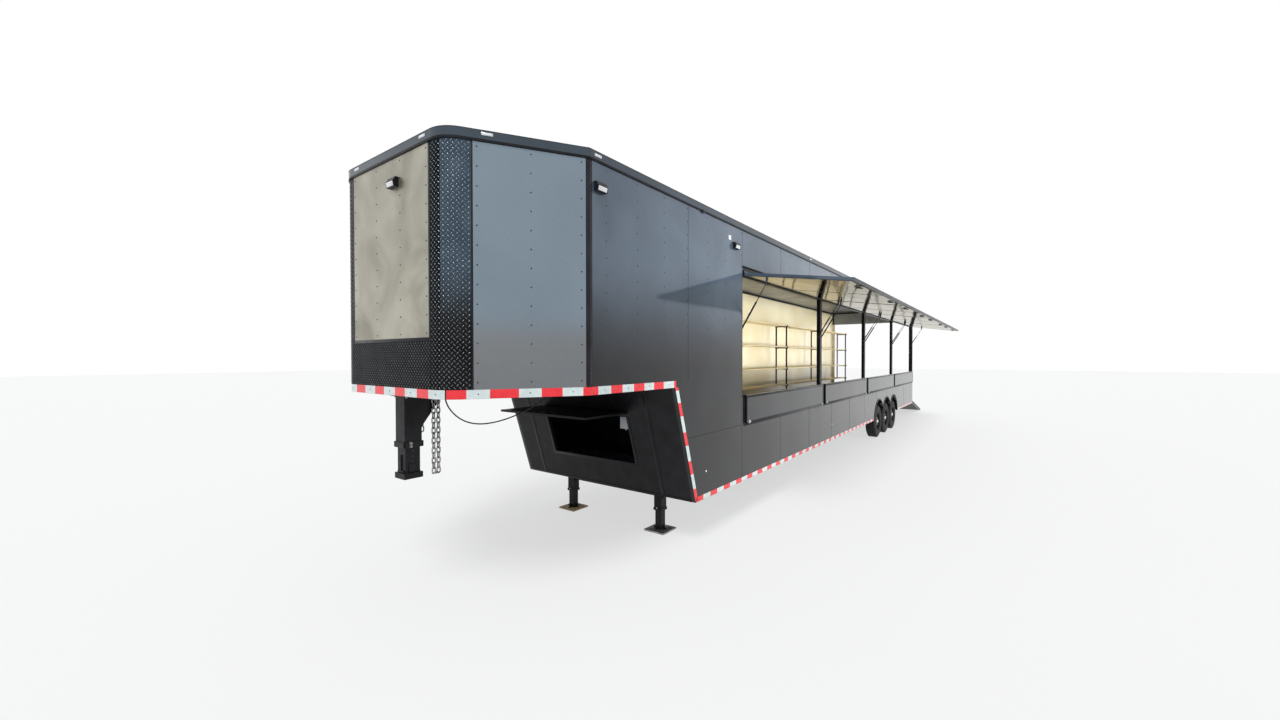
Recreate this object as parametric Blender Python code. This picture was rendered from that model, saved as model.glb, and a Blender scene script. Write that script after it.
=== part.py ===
# Gooseneck concession trailer: box body with a raised nose, four serving bays with
# awning doors on gas struts, fold-down counter flaps, three axles and a rear ramp.
# Metres, +Z up. The nose points to +X and the serving side faces +Y.
# Stations are measured from the flat front of the nose: x = 0 there, negative behind.
# An empty carries every piece, so that the world origin lies on the ground under
# the middle of the whole outline.

import bpy
import bmesh
from math import sin, cos, asin, atan2, degrees, radians, pi, sqrt, hypot
from mathutils import Matrix, Vector

for old in list(bpy.data.objects):
    bpy.data.objects.remove(old, do_unlink=True)

# Clearances
gap = 0.0003                # between pieces that touch
swing_gap = 0.006           # round a door, flap or hatch

# Body
body_width = 2.591
body_length = 16.154
nose_flat_width = 1.498
nose_chamfer_run = 0.893
nose_bend_radius = 0.220    # of the skin where it turns from front to chamfer
nose_bend_steps = 8
nose_bottom = 1.671
body_bottom = 0.462
drop_top_x = -2.083
drop_bottom_x = -2.465
roof_top = 3.571
roof_rail_height = 0.083
roof_rail_proud = 0.008
roof_rail_width = 0.055
roof_sheet = 0.040
wall = 0.040
floor_thickness = 0.050
floor_end_gap = 0.002
nose_floor_thickness = 0.070
panel_joint_x = -3.500
step_wall_x = -3.400
frame_depth = 0.108

# Serving bays
bay_count = 4
bay_start_x = -3.610        # front edge of the first clear opening
bay_pitch = 3.130
post_width = 0.100
post_depth = 0.055
frame_sill_depth = 0.080
frame_header_rise = 0.100
frame_lap = 0.030           # past the joint between the side panels
sill_height = 1.485
bead_drop = 0.5735          # from the roof's top to the doors' hinge beads
header_drop = 0.0475        # from the beads to the underside of the header
skin_drop = 0.0075          # from the beads to the lower edge of the skin above the doors
door_edge_gap = 0.002       # between a door's end and its bay's limit

# Awning doors
awning_thickness = 0.035
awning_reach = 1.278        # from the hinge bead to the free edge
awning_droop = 8.1          # degrees below level when open
awning_top_gap = 0.0135
bead_radius = 0.005
bead_out = 0.010            # hinge bead's centre outside the skin
hook_wall = 0.003
hinge_neck = 0.005
drip_rail_height = 0.075

# Gas struts
strut_tube_radius = 0.011
strut_rod_radius = 0.005
strut_bore_radius = 0.0055
strut_eye_radius = 0.011
strut_eye_hole = 0.0053
strut_pin_radius = 0.005
strut_foot_drop = 0.6975    # below the hinge bead
strut_foot_inset = 0.0678   # behind the skin
strut_side_offset = 0.040   # from the post's side
strut_arm_share = 0.3943    # of the foot's drop, from the hinge bead along the door
strut_drop = 0.058          # below the door's underside
strut_eye_half = 0.005
strut_boss_radius = 0.008
strut_ear_gap = 0.007       # between the ear and the eye
strut_ear = 0.004
strut_neck = 0.033          # rod left showing when the door is closed
strut_rod_overlap = 0.030

# Counter flaps
flap_thickness = 0.020
flap_drop = 0.345
flap_side_gap = 0.009
flap_bead_inset = 0.018     # bead's centre behind the skin
flap_bead_rise = 0.015      # above the sill
flap_skin_gap = 0.005
sill_rail_root = 0.008      # of the rail's base into the bay frame

# Rear doorway and ramp
doorway_side = 0.1055       # from the body's side to the doorway
doorway_top = 3.120
rear_frame_depth = 0.060
ramp_length = 2.530
ramp_bevel_run = 0.150
ramp_tip_thickness = 0.012
ramp_side_lap = 0.015       # beside the doorway
ramp_thickness = 0.050
ramp_hinge_height = 0.600
ramp_hinge_out = 0.030
ramp_edge_clear = 0.012
ramp_tip_height = 0.004
ramp_knuckles = (-0.9, -0.3, 0.3, 0.9)
ramp_knuckle_half = 0.050
ramp_ear = 0.012
ramp_ear_reach = 0.006      # past the hinge axis

# Belly compartment
hatch_opening_left = 0.593
hatch_opening_right = -0.672
hatch_opening_top = 1.330
hatch_opening_bottom = 0.800
hatch_overlap = 0.025
hatch_thickness = 0.020
hatch_bead_out = 0.016
hatch_cradle_low = -35.0    # degrees, the sector of the bead that the hatch wraps
hatch_cradle_high = 80.0
hatch_cut_over = 0.200      # the opening's cutter runs past the wall

# Wheels
first_axle_station = -11.156
axle_pitch = 0.9145
axle_count = 3
tyre_radius = 0.390
tyre_width = 0.235
tyre_bore = 0.205
rim_width = 0.180
wheel_facets = 24           # the same for tyre and rim, so that their flats match
rim_wall = 0.008
tyre_inset = 0.0105         # of the tyre's outer face behind the skin
rim_well = 0.165
hub_radius = 0.055
hub_length = 0.070
spindle_radius = 0.030
hub_clearance = 0.0009        # a turned bore's flats come inside its corners
axle_radius = 0.045
arch_radius = 0.530
beam_inset = 0.200          # of the axle beams' middle from the tyres' inner faces
beam_width = 0.080
beam_overhang = 0.350
wheel_box_side = 0.150      # room beside the tyres
wheel_box_end = 0.030       # past the arches
wheel_box_sheet = 0.030
wheel_box_top = 0.980

# Landing legs
leg_station = -2.680
leg_inset = 0.6005          # of a leg's middle from the body's side
leg_outer = 0.100
leg_inner = 0.080
leg_sleeve_bottom = 0.230
leg_foot = 0.266
leg_foot_thickness = 0.016

# Coupler
coupler_station = -0.150
coupler_tube = 0.140
coupler_stem = 0.120
coupler_tube_bottom = 1.250
coupler_stem_top = 1.560
coupler_bottom = 1.000
coupler_collar = 0.152
coupler_collar_height = 0.045
ball_socket_radius = 0.041
ball_socket_depth = 0.110
gusset_run = 0.170
gusset_height = 0.270
gusset_thickness = 0.012
chain_bar_back = 0.090
chain_bar_drop = 0.045
chain_bar_radius = 0.007
chain_side_gap = 0.020
link_wire = 0.0055          # radius
link_length = 0.062
link_width = 0.038
link_bite = 0.0012          # that two links sink into each other where they touch
loop_links = 15             # down, and again up, with one more across the bottom
short_links = 7

# Lamps: middle station across and height, on the skin they stand on
lamp_width = 0.112
lamp_height = 0.074
lamp_depth = 0.045
front_lamp = (0.112, 3.295)                     # (y, z)
side_lamps = ((-1.003, 3.295), (-3.349, 3.268)) # (x, z)
tail_lamp_y_inset = 0.026   # from the frame's side
tail_lamp_width = 0.034
tail_lamp_depth = 0.012
tail_lamps = ((0.900, 0.220), (1.180, 0.120))   # (bottom, height)
header_lamp_half = 0.060
header_lamp_height = 0.034
header_lamp_z = 3.310
header_lamps = (-1.050, -0.200, 0.0, 0.200, 1.050)

# Electrical box beside the hatchway
junction_width = 0.125
junction_height = 0.125
junction_depth = 0.115
junction_drop = 0.015       # below the opening's top
junction_back = 0.010       # behind the wall's outer face

# Shelves
shelf_wall_gap = 0.1755     # behind the shelf unit
shelf_depth = 0.340
shelf_start_x = -7.600
shelf_end_x = -15.980
shelf_thickness = 0.022
shelf_post = 0.032
shelf_post_rise = 0.010     # above the top board
shelf_heights = (0.650, 1.080, 1.620, 2.170)    # of the boards' tops above the floor
shelf_bays = 3

# Brake cable
cable_radius = 0.006
gland_radius = 0.014
# The brake cable's route, from the coupler's plate to the underside of the nose floor
cable_points = ((-0.450, 0.030, 1.6507), (-0.450, 0.030, 1.638), (-0.450, 0.030, 1.624),
                (-0.456, 0.031, 1.590), (-0.476, 0.036, 1.540), (-0.515, 0.045, 1.485),
                (-0.575, 0.060, 1.430), (-0.655, 0.080, 1.390), (-0.750, 0.104, 1.372),
                (-0.860, 0.132, 1.376), (-0.975, 0.162, 1.398), (-1.090, 0.192, 1.434),
                (-1.200, 0.220, 1.480), (-1.300, 0.246, 1.530), (-1.385, 0.268, 1.578),
                (-1.436, 0.283, 1.612), (-1.450, 0.288, 1.630), (-1.450, 0.288, 1.640),
                (-1.450, 0.288, 1.6507))

half_width = body_width / 2
skin_inside = half_width - wall
wall_top = roof_top - roof_rail_height - gap
floor_top = body_bottom + frame_depth + floor_thickness
bead_height = roof_top - bead_drop
opening_top = bead_height - header_drop
skin_opening_top = bead_height - skin_drop
doorway_half_width = half_width - doorway_side
wheel_outer_y = half_width - tyre_inset
wheel_inner_y = wheel_outer_y - tyre_width
beam_y = wheel_inner_y - beam_inset
wheel_box_inner_y = wheel_inner_y - wheel_box_side
axle_stations = [first_axle_station - i * axle_pitch for i in range(axle_count)]
leg_y = half_width - leg_inset
shelf_front_y = -(skin_inside - shelf_wall_gap - shelf_depth)
shelf_levels = [floor_top + height for height in shelf_heights]
strut_foot_height = bead_height - strut_foot_drop
strut_arm = strut_foot_drop * strut_arm_share
post_face = skin_inside - gap
post_back = post_face - post_depth

collection = bpy.data.collections.new("concession_trailer")
bpy.context.scene.collection.children.link(collection)
trailer = bpy.data.objects.new("trailer", None)
collection.objects.link(trailer)


# Materials: name, colour, roughness, metallic
def make_material(name, colour, roughness, metallic):
    material = bpy.data.materials.new(name)
    material.use_nodes = True
    shader = material.node_tree.nodes["Principled BSDF"]
    shader.inputs["Base Color"].default_value = (*colour, 1.0)
    shader.inputs["Roughness"].default_value = roughness
    shader.inputs["Metallic"].default_value = metallic
    return material


charcoal = make_material("charcoal_skin", (0.045, 0.050, 0.060), 0.22, 0.6)
black_trim = make_material("black_trim", (0.010, 0.010, 0.012), 0.35, 0.2)
black_steel = make_material("black_steel", (0.012, 0.012, 0.013), 0.45, 0.5)
grey_steel = make_material("grey_steel", (0.25, 0.26, 0.27), 0.40, 0.9)
rubber = make_material("tyre_rubber", (0.018, 0.018, 0.018), 0.85, 0.0)
chrome_rod = make_material("strut_rod", (0.55, 0.56, 0.58), 0.15, 1.0)
floor_board = make_material("floor_board", (0.20, 0.19, 0.18), 0.70, 0.0)
shelf_wood = make_material("shelf_wood", (0.55, 0.42, 0.24), 0.60, 0.0)
cable_rubber = make_material("cable_rubber", (0.01, 0.01, 0.01), 0.60, 0.0)


# Building blocks
def add_object(name, mesh, material):
    piece = bpy.data.objects.new(name, mesh)
    collection.objects.link(piece)
    if material is not None and not mesh.materials:
        mesh.materials.append(material)
    return piece


def place(piece, parent=None):
    piece.parent = parent or trailer
    return piece


def mesh_from(bm, name):
    bmesh.ops.recalc_face_normals(bm, faces=bm.faces)
    mesh = bpy.data.meshes.new(name)
    bm.to_mesh(mesh)
    bm.free()
    return mesh


# A closed plane outline with holes, extruded from low to high along one axis.
# Loops are (y, z) for X, (x, z) for Y and (x, y) for Z.
def extruded(name, loops, axis, low, high, material):
    curve = bpy.data.curves.new(name, "CURVE")
    curve.dimensions = "2D"
    curve.fill_mode = "BOTH"
    curve.extrude = (high - low) / 2
    for loop in loops:
        spline = curve.splines.new("POLY")
        spline.points.add(len(loop) - 1)
        for point, (u, v) in zip(spline.points, loop):
            point.co = (u, v, 0.0, 1.0)
        spline.use_cyclic_u = True
    middle = (high + low) / 2
    turned = {
        "X": Matrix(((0, 0, 1, middle), (1, 0, 0, 0), (0, 1, 0, 0), (0, 0, 0, 1))),
        "Y": Matrix(((1, 0, 0, 0), (0, 0, -1, middle), (0, 1, 0, 0), (0, 0, 0, 1))),
        "Z": Matrix.Translation((0, 0, middle)),
    }[axis]
    return curve_to_mesh(name, curve, turned, material)


def curve_to_mesh(name, curve, matrix, material):
    guide = bpy.data.objects.new(name + "_curve", curve)
    bpy.context.scene.collection.objects.link(guide)
    depsgraph = bpy.context.evaluated_depsgraph_get()
    mesh = bpy.data.meshes.new_from_object(guide.evaluated_get(depsgraph))
    bpy.data.objects.remove(guide, do_unlink=True)
    bm = bmesh.new()
    bm.from_mesh(mesh)
    bpy.data.meshes.remove(mesh)
    bmesh.ops.transform(bm, matrix=matrix, verts=bm.verts)
    bmesh.ops.remove_doubles(bm, verts=bm.verts, dist=0.00001)
    return add_object(name, mesh_from(bm, name), material)


def box(name, low, high, material=None):
    bm = bmesh.new()
    bmesh.ops.create_cube(bm, size=1.0)
    size = [b - a for a, b in zip(low, high)]
    middle = [(a + b) / 2 for a, b in zip(low, high)]
    bmesh.ops.scale(bm, vec=size, verts=bm.verts)
    bmesh.ops.translate(bm, vec=middle, verts=bm.verts)
    return add_object(name, mesh_from(bm, name), material)


# A cylinder between two points
def rod(name, start, end, radius, segments, material=None):
    start, end = Vector(start), Vector(end)
    bm = bmesh.new()
    bmesh.ops.create_cone(bm, cap_ends=True, segments=segments, radius1=radius, radius2=radius,
                          depth=(end - start).length)
    turn = (end - start).to_track_quat("Z", "Y").to_matrix().to_4x4()
    bmesh.ops.transform(bm, matrix=Matrix.Translation((start + end) / 2) @ turn, verts=bm.verts)
    return add_object(name, mesh_from(bm, name), material)


# A ring turned about the Y axis from a closed (radius, y) profile, centred on the world origin
def turned_ring(name, profile, segments, material):
    bm = bmesh.new()
    points = [bm.verts.new((radius, y, 0.0)) for radius, y in profile]
    edges = [bm.edges.new((points[i - 1], points[i])) for i in range(len(points))]
    bmesh.ops.spin(bm, geom=points + edges, cent=(0, 0, 0), axis=(0, 1, 0), angle=2 * pi,
                   steps=segments, use_merge=True)
    bmesh.ops.remove_doubles(bm, verts=bm.verts, dist=0.00001)
    return add_object(name, mesh_from(bm, name), material)


# Boolean with the EXACT solver; the tools are used up
def boolean(target, tools, operation):
    for tool in tools:
        modifier = target.modifiers.new(operation.lower(), "BOOLEAN")
        modifier.operation = operation
        modifier.solver = "EXACT"
        modifier.object = tool
        depsgraph = bpy.context.evaluated_depsgraph_get()
        mesh = bpy.data.meshes.new_from_object(target.evaluated_get(depsgraph))
        target.modifiers.clear()
        old = target.data
        target.data = mesh
        bpy.data.meshes.remove(old)
        bpy.data.objects.remove(tool, do_unlink=True)
    bm = bmesh.new()
    bm.from_mesh(target.data)
    bmesh.ops.remove_doubles(bm, verts=bm.verts, dist=0.00001)
    bmesh.ops.dissolve_degenerate(bm, edges=bm.edges, dist=0.000001)
    bm.to_mesh(target.data)
    bm.free()
    return target


def unite(target, tools):
    return boolean(target, tools, "UNION")


def cut(target, tools):
    return boolean(target, tools, "DIFFERENCE")


def shade_smooth(piece, angle=35):
    piece.data.shade_smooth()
    piece.data.set_sharp_from_angle(angle=radians(angle))
    return piece


def arc(centre, radius, start, end, steps):
    return [(centre[0] + radius * cos(radians(start + (end - start) * i / steps)),
             centre[1] + radius * sin(radians(start + (end - start) * i / steps)))
            for i in range(steps + 1)]


# Plan outline of the body, moved outward by a distance (negative moves it inward).
# The two bends keep their centres at every distance.
def body_plan(outward, end_x=-body_length):
    # the chamfer's outward normal in plan
    chamfer_side = half_width - nose_flat_width / 2
    chamfer = hypot(nose_chamfer_run, chamfer_side)
    nx, ny = chamfer_side / chamfer, nose_chamfer_run / chamfer
    side_y = half_width + outward
    corner_x = -nose_chamfer_run + outward * (1 - ny) / nx
    centre = (-nose_bend_radius, nose_flat_width / 2 - nose_bend_radius * (1 - nx) / ny)
    bend = arc(centre, nose_bend_radius + outward, degrees(atan2(ny, nx)), 0, nose_bend_steps)
    left = [(end_x, side_y), (corner_x, side_y)] + bend
    return left + [(x, -y) for x, y in reversed(left)]


# The chamfer's inner face at a station
def chamfer_inside(x):
    corner, front = body_plan(-wall)[1:3]
    share = (x - corner[0]) / (front[0] - corner[0])
    return (x, corner[1] + (front[1] - corner[1]) * share)


# Stations of the clear openings, front edge first
openings = [(bay_start_x - i * bay_pitch, bay_start_x - i * bay_pitch - bay_pitch + post_width)
            for i in range(bay_count)]
doors_front_x = bay_start_x + post_width / 2
doors_rear_x = doors_front_x - bay_count * bay_pitch


# A hooded lamp's section, as (out, up) from its middle on the skin
def lamp_section():
    half = lamp_height / 2
    return [(-0.004, half), (lamp_depth * 0.55, half), (lamp_depth, half * 0.1),
            (lamp_depth * 0.80, -half), (-0.004, -half)]


# Nose wall: flat front and two chamfered corners, bent from one sheet, with its lamp
def nose_wall():
    end_x = -nose_chamfer_run
    outer = body_plan(0.0, end_x)[1:-1]
    inner = body_plan(-wall, end_x)[1:-1]
    # the inner corners lie behind the outer ones, so the ends are cut square to the side
    inner[0], inner[-1] = chamfer_inside(end_x), (end_x, -chamfer_inside(end_x)[1])
    loop = outer + inner[::-1]
    sheet = extruded("nose_wall", [loop], "Z", nose_bottom, wall_top, charcoal)
    y, z = front_lamp
    section = [(out, z + up) for out, up in lamp_section()]
    lamp = extruded("lamp", [section], "Y", y - lamp_width / 2, y + lamp_width / 2, None)
    return place(unite(sheet, [lamp]))


# Wheel arch along the bottom edge: one scallop over each axle
def arch_points():
    rise = body_bottom - tyre_radius
    half_span = (axle_stations[0] - axle_stations[1]) / 2
    outer_angle = asin(rise / arch_radius) * 180 / pi
    inner_angle = atan2(sqrt(arch_radius ** 2 - half_span ** 2), half_span) * 180 / pi
    points = []
    last = len(axle_stations) - 1
    for i, x in enumerate(axle_stations):
        start = outer_angle if i == 0 else inner_angle
        end = 180 - (outer_angle if i == last else inner_angle)
        points += arc((x, tyre_radius), arch_radius, start, end, 12)
    return points


def side_wall_front(name, side, lamps=()):
    loop = [(-nose_chamfer_run - gap, nose_bottom), (drop_top_x, nose_bottom),
            (drop_bottom_x, body_bottom), (panel_joint_x, body_bottom),
            (panel_joint_x, wall_top), (-nose_chamfer_run - gap, wall_top)]
    low, high = sorted((side * skin_inside, side * half_width))
    sheet = extruded(name, [loop], "Y", low, high, charcoal)
    tools = []
    for x, z in lamps:
        section = [(side * (half_width + out), z + up) for out, up in lamp_section()]
        tools.append(extruded("lamp", [section], "X", x - lamp_width / 2, x + lamp_width / 2, None))
    return place(unite(sheet, tools))


def side_wall_rear(name, side, with_bays):
    front_x = panel_joint_x - gap
    loop = [(front_x, wall_top), (front_x, body_bottom)] + arch_points() + \
           [(-body_length, body_bottom), (-body_length, wall_top)]
    loops = [loop]
    if with_bays:
        edge = door_edge_gap + swing_gap
        loops.append([(doors_front_x + edge, sill_height), (doors_rear_x - edge, sill_height),
                      (doors_rear_x - edge, skin_opening_top),
                      (doors_front_x + edge, skin_opening_top)])
    low, high = sorted((side * skin_inside, side * half_width))
    return place(extruded(name, loops, "Y", low, high, charcoal))


# Posts, header and sill behind the doors, cut from one frame, with the sill's hinge rail
def bay_frame():
    front_x = panel_joint_x + frame_lap
    rear_x = -body_length + rear_frame_depth + gap
    frame = box("bay_frame", (rear_x, post_back, sill_height - frame_sill_depth),
                (front_x, post_face, skin_opening_top + frame_header_rise), black_trim)
    cut(frame, [box("bay", (rear, post_back - 0.1, sill_height), (front, post_face + 0.1, opening_top))
                for front, rear in openings])
    # ball studs that carry the gas struts' feet
    pins = []
    for i, (front, rear) in enumerate(openings):
        for face, inward in ((front, -1), (rear, 1)):
            start = (face - inward * 0.004, half_width - strut_foot_inset, strut_foot_height)
            end = (face + inward * (strut_side_offset + 0.007), start[1], strut_foot_height)
            pins.append(rod("stud", start, end, strut_pin_radius, 10))
    return place(unite(frame, pins + [sill_rail()]))


# The hinge rail over the doors: flange, drip lip, neck and round bead
def hinge_rail_upper():
    bead = (half_width + bead_out, bead_height)
    flange_in = half_width + gap
    flange_out = flange_in + hook_wall
    top = bead_height + drip_rail_height
    neck_half = hinge_neck / 2
    ring = hook_clear_radius() + hook_wall
    # the bead's arc, open at the top where the neck leaves it
    open_angle = asin(neck_half / bead_radius) * 180 / pi
    bead_arc = arc(bead, bead_radius, 90 + open_angle, 450 - open_angle, 14)
    loop = [(flange_in, top), (flange_in, bead_height + ring + 0.004),
            (bead[0] - neck_half, bead_height + ring + 0.002)] + bead_arc + \
           [(bead[0] + neck_half, bead_height + ring + 0.006),
            (flange_out, bead_height + ring + 0.012), (flange_out, top - 0.010),
            (flange_out + 0.018, top - 0.016), (flange_out + 0.018, top - 0.012),
            (flange_out, top)]
    return place(extruded("hinge_rail_upper", [loop], "X", doors_rear_x, doors_front_x, black_trim))


def hook_clear_radius():
    return bead_radius + 0.0004


# An awning door: panel, leaf and the hook that wraps the rail's bead, in one profile.
# s runs from the bead along the door and t towards the door's inner face.
def awning(index):
    inner = hook_clear_radius()
    outer = inner + hook_wall
    t0 = bead_out
    t1 = bead_out + awning_thickness
    hook_outside = [(outer * cos(radians(a)), -outer * sin(radians(a))) for a in range(68, -1, -17)]
    hook_under = [(outer * cos(radians(a)), -outer * sin(radians(a))) for a in range(-90, -151, -15)]
    hook_inside = [(inner * cos(radians(a)), -inner * sin(radians(a))) for a in range(-150, 69, 21)]
    hook_inside.append((inner * cos(radians(68)), -inner * sin(radians(68))))
    profile = hook_outside + [(0.012, t0 - 0.0035), (0.045, t0 - 0.0035), (0.045, t0),
                              (awning_reach, t0), (awning_reach, t1), (awning_top_gap, t1),
                              (awning_top_gap, t0 + 0.001)] + hook_under + hook_inside
    turn = radians(-awning_droop)
    bead = (half_width + bead_out, bead_height)
    # along the door and across it, in (y, z)
    along = (cos(turn), sin(turn))
    across = (sin(turn), -cos(turn))
    loop = [(bead[0] + s * along[0] + t * across[0], bead[1] + s * along[1] + t * across[1])
            for s, t in profile]
    front_x = doors_front_x - index * bay_pitch - 0.004
    rear_x = front_x - bay_pitch + 0.008
    door = extruded("awning_%d" % (index + 1), [loop], "X", rear_x, front_x, charcoal)
    # bracket bosses that bear on the sides of the rods' eyes
    eye = strut_head()
    root_t = t1 - 0.004
    tools = []
    front, rear = openings[index]
    for face, inward in ((front, -1), (rear, 1)):
        x_side = face + inward * (strut_side_offset - strut_eye_half - gap)
        x_ear = x_side - inward * strut_ear_gap
        ear = [(strut_arm - 0.018, root_t), (strut_arm + 0.018, root_t),
               (strut_arm + 0.010, t1 + strut_drop + 0.010), (strut_arm - 0.010, t1 + strut_drop + 0.010)]
        ear = [(bead[0] + s * along[0] + t * across[0], bead[1] + s * along[1] + t * across[1])
               for s, t in ear]
        low, high = sorted((x_ear, x_ear - inward * strut_ear))
        tools.append(extruded("ear", [ear], "X", low, high, None))
        tools.append(rod("boss", (x_ear - inward * 0.002, eye[0], eye[1]),
                         (x_side, eye[0], eye[1]), strut_boss_radius, 10))
    return place(unite(door, tools))


# Where a rod's eye meets the door at a droop in degrees, in (y, z)
def strut_head(droop=awning_droop):
    turn = radians(-droop)
    t = bead_out + awning_thickness + strut_drop
    return (half_width + bead_out + strut_arm * cos(turn) + t * sin(turn),
            bead_height + strut_arm * sin(turn) - t * cos(turn))


def strut_foot():
    return (half_width - strut_foot_inset, strut_foot_height)


def strut_length(droop):
    foot, head = strut_foot(), strut_head(droop)
    return hypot(head[0] - foot[0], head[1] - foot[1])


# An eye ring round a pin along X, centred on the local origin
def eye_ring(name, half_length, segments=12):
    bm = bmesh.new()
    profile = ((strut_eye_hole, -half_length), (strut_eye_radius, -half_length),
               (strut_eye_radius, half_length), (strut_eye_hole, half_length))
    points = [bm.verts.new((x, radius, 0.0)) for radius, x in profile]
    edges = [bm.edges.new((points[i - 1], points[i])) for i in range(len(points))]
    bmesh.ops.spin(bm, geom=points + edges, cent=(0, 0, 0), axis=(1, 0, 0), angle=2 * pi,
                   steps=segments, use_merge=True)
    bmesh.ops.remove_doubles(bm, verts=bm.verts, dist=0.00001)
    return add_object(name, mesh_from(bm, name), None)


# Both strut meshes stand along local Z with the foot eye or the head eye at the origin
def strut_meshes():
    length = strut_length(awning_droop)
    strut_tube_top = strut_length(90.0) - strut_neck
    tube = rod("tube", (0, 0, 0.0085), (0, 0, strut_tube_top), strut_tube_radius, 12, black_trim)
    unite(tube, [eye_ring("eye", strut_eye_half)])
    bore = rod("bore", (0, 0, 0.040), (0, 0, strut_tube_top + 0.010), strut_bore_radius, 10)
    cut(tube, [bore])
    inner_end = strut_tube_top - strut_rod_overlap - length
    stem = rod("stem", (0, 0, inner_end), (0, 0, -0.0085), strut_rod_radius, 10, chrome_rod)
    unite(stem, [eye_ring("eye", strut_eye_half)])
    meshes = (tube.data.copy(), stem.data.copy())
    bpy.data.objects.remove(tube, do_unlink=True)
    bpy.data.objects.remove(stem, do_unlink=True)
    return meshes


def gas_struts():
    tube_mesh, rod_mesh = strut_meshes()
    foot, head = strut_foot(), strut_head()
    lean = atan2(head[0] - foot[0], head[1] - foot[1])
    for index, (front, rear) in enumerate(openings):
        for end, x in (("front", front - strut_side_offset), ("rear", rear + strut_side_offset)):
            for kind, mesh, at in (("tube", tube_mesh, foot), ("rod", rod_mesh, head)):
                piece = bpy.data.objects.new("strut_%s_%d_%s" % (kind, index + 1, end), mesh)
                collection.objects.link(piece)
                piece.location = (x, at[0], at[1])
                piece.rotation_euler = (-lean, 0, 0)
                shade_smooth(piece)
                place(piece)


# The sill's hinge rail with the bead that the flaps turn on. Its base runs from the bay
# frame out over the skin's edge.
def sill_rail():
    base_in = post_face - sill_rail_root
    base_out = half_width - 0.001
    base = sill_height + gap
    bead = (half_width - flap_bead_inset, sill_height + flap_bead_rise)
    neck_half = hinge_neck / 2
    open_angle = asin(neck_half / bead_radius) * 180 / pi
    bead_arc = arc(bead, bead_radius, -90 + open_angle, 270 - open_angle, 14)
    loop = [(base_in, base - sill_rail_root), (post_face, base - sill_rail_root), (post_face, base),
            (base_out, base), (base_out, base + hook_wall),
            (bead[0] + neck_half, base + hook_wall)] + bead_arc + \
           [(bead[0] - neck_half, base + hook_wall), (base_in, base + hook_wall)]
    return extruded("sill_rail", [loop], "X", doors_rear_x + 0.010, doors_front_x - 0.010, None)


# A counter flap, hanging: a cradle round the bead, a lip over the sill and the panel
def flap(index):
    bead = (half_width - flap_bead_inset, sill_height + flap_bead_rise)
    inner = hook_clear_radius()
    outer = inner + hook_wall
    panel_in = half_width + flap_skin_gap
    panel_out = panel_in + flap_thickness
    lip_low, lip_high = bead[1] - hook_wall, bead[1] + hook_wall
    cradle_half = 58
    lip_angle = asin(hook_wall / outer) * 180 / pi
    upper_out = arc(bead, outer, lip_angle, cradle_half, 4)
    inside = arc(bead, inner, cradle_half, -cradle_half, 8)
    lower_out = arc(bead, outer, -cradle_half, -lip_angle, 4)
    loop = upper_out + inside + lower_out + \
        [(panel_in, lip_low), (panel_in, bead[1] - flap_drop), (panel_out, bead[1] - flap_drop),
         (panel_out, lip_high)]
    front, rear = openings[index]
    return place(extruded("flap_%d" % (index + 1), [loop], "X", rear + flap_side_gap,
                          front - flap_side_gap, charcoal))


def roof():
    outer = body_plan(roof_rail_proud, end_x=-body_length - roof_rail_proud)
    low = roof_top - roof_rail_height
    slab = extruded("roof", [outer], "Z", low, roof_top, black_trim)
    inner = body_plan(-roof_rail_width, end_x=-body_length + roof_rail_width)
    pocket = extruded("pocket", [inner], "Z", low - 0.010, roof_top - roof_sheet, None)
    return place(cut(slab, [pocket]))


# The raised floor with the step wall under its rear edge
def nose_floor():
    inside = body_plan(-wall - gap, end_x=step_wall_x - wall)
    floor = extruded("nose_floor", [inside], "Z", nose_bottom,
                     nose_bottom + nose_floor_thickness, black_steel)
    # glands that hold the cable's two ends
    glands = [rod("gland", (x, y, z + gap), (x, y, nose_bottom + 0.005), gland_radius, 14)
              for x, y, z in (cable_points[0], cable_points[-1])]
    side = skin_inside - gap
    step = box("step", (step_wall_x - wall, -side, floor_top + gap),
               (step_wall_x, side, nose_bottom + nose_floor_thickness))
    return place(unite(floor, glands + [step]))


# x of the drop wall's outer face at a height
def drop_x(z):
    share = (nose_bottom - z) / (nose_bottom - body_bottom)
    return drop_top_x + (drop_bottom_x - drop_top_x) * share


def drop_wall():
    top, bottom = nose_bottom - gap, body_bottom
    loop = [(drop_x(top), top), (drop_x(bottom), bottom), (drop_x(bottom) - wall, bottom),
            (drop_x(top) - wall, top)]
    side = skin_inside - gap
    panel = extruded("drop_wall", [loop], "Y", -side, side, black_steel)
    opening = box("hatchway", (drop_bottom_x - hatch_cut_over, hatch_opening_right, hatch_opening_bottom),
                  (drop_top_x + hatch_cut_over, hatch_opening_left, hatch_opening_top))
    # the hatch's hinge: a neck and a bead above the opening
    bead = hatch_bead()
    neck = [(drop_x(bead[1]) - 0.004, bead[1] - 0.0025), (bead[0], bead[1] - 0.0025),
            (bead[0], bead[1] + 0.0025), (drop_x(bead[1]) - 0.004, bead[1] + 0.0025)]
    low, high = hatch_opening_right - hatch_overlap, hatch_opening_left + hatch_overlap
    box_top = hatch_opening_top - junction_drop
    box_front = drop_x(box_top - junction_height) - junction_back
    tools = [extruded("neck", [neck], "Y", low, high, None),
             rod("bead", (bead[0], low, bead[1]), (bead[0], high, bead[1]), bead_radius, 12),
             box("junction", (box_front - junction_depth, hatch_opening_left - junction_width,
                              box_top - junction_height),
                 (box_front, hatch_opening_left + 0.004, box_top))]
    return place(unite(cut(panel, [opening]), tools))


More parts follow.
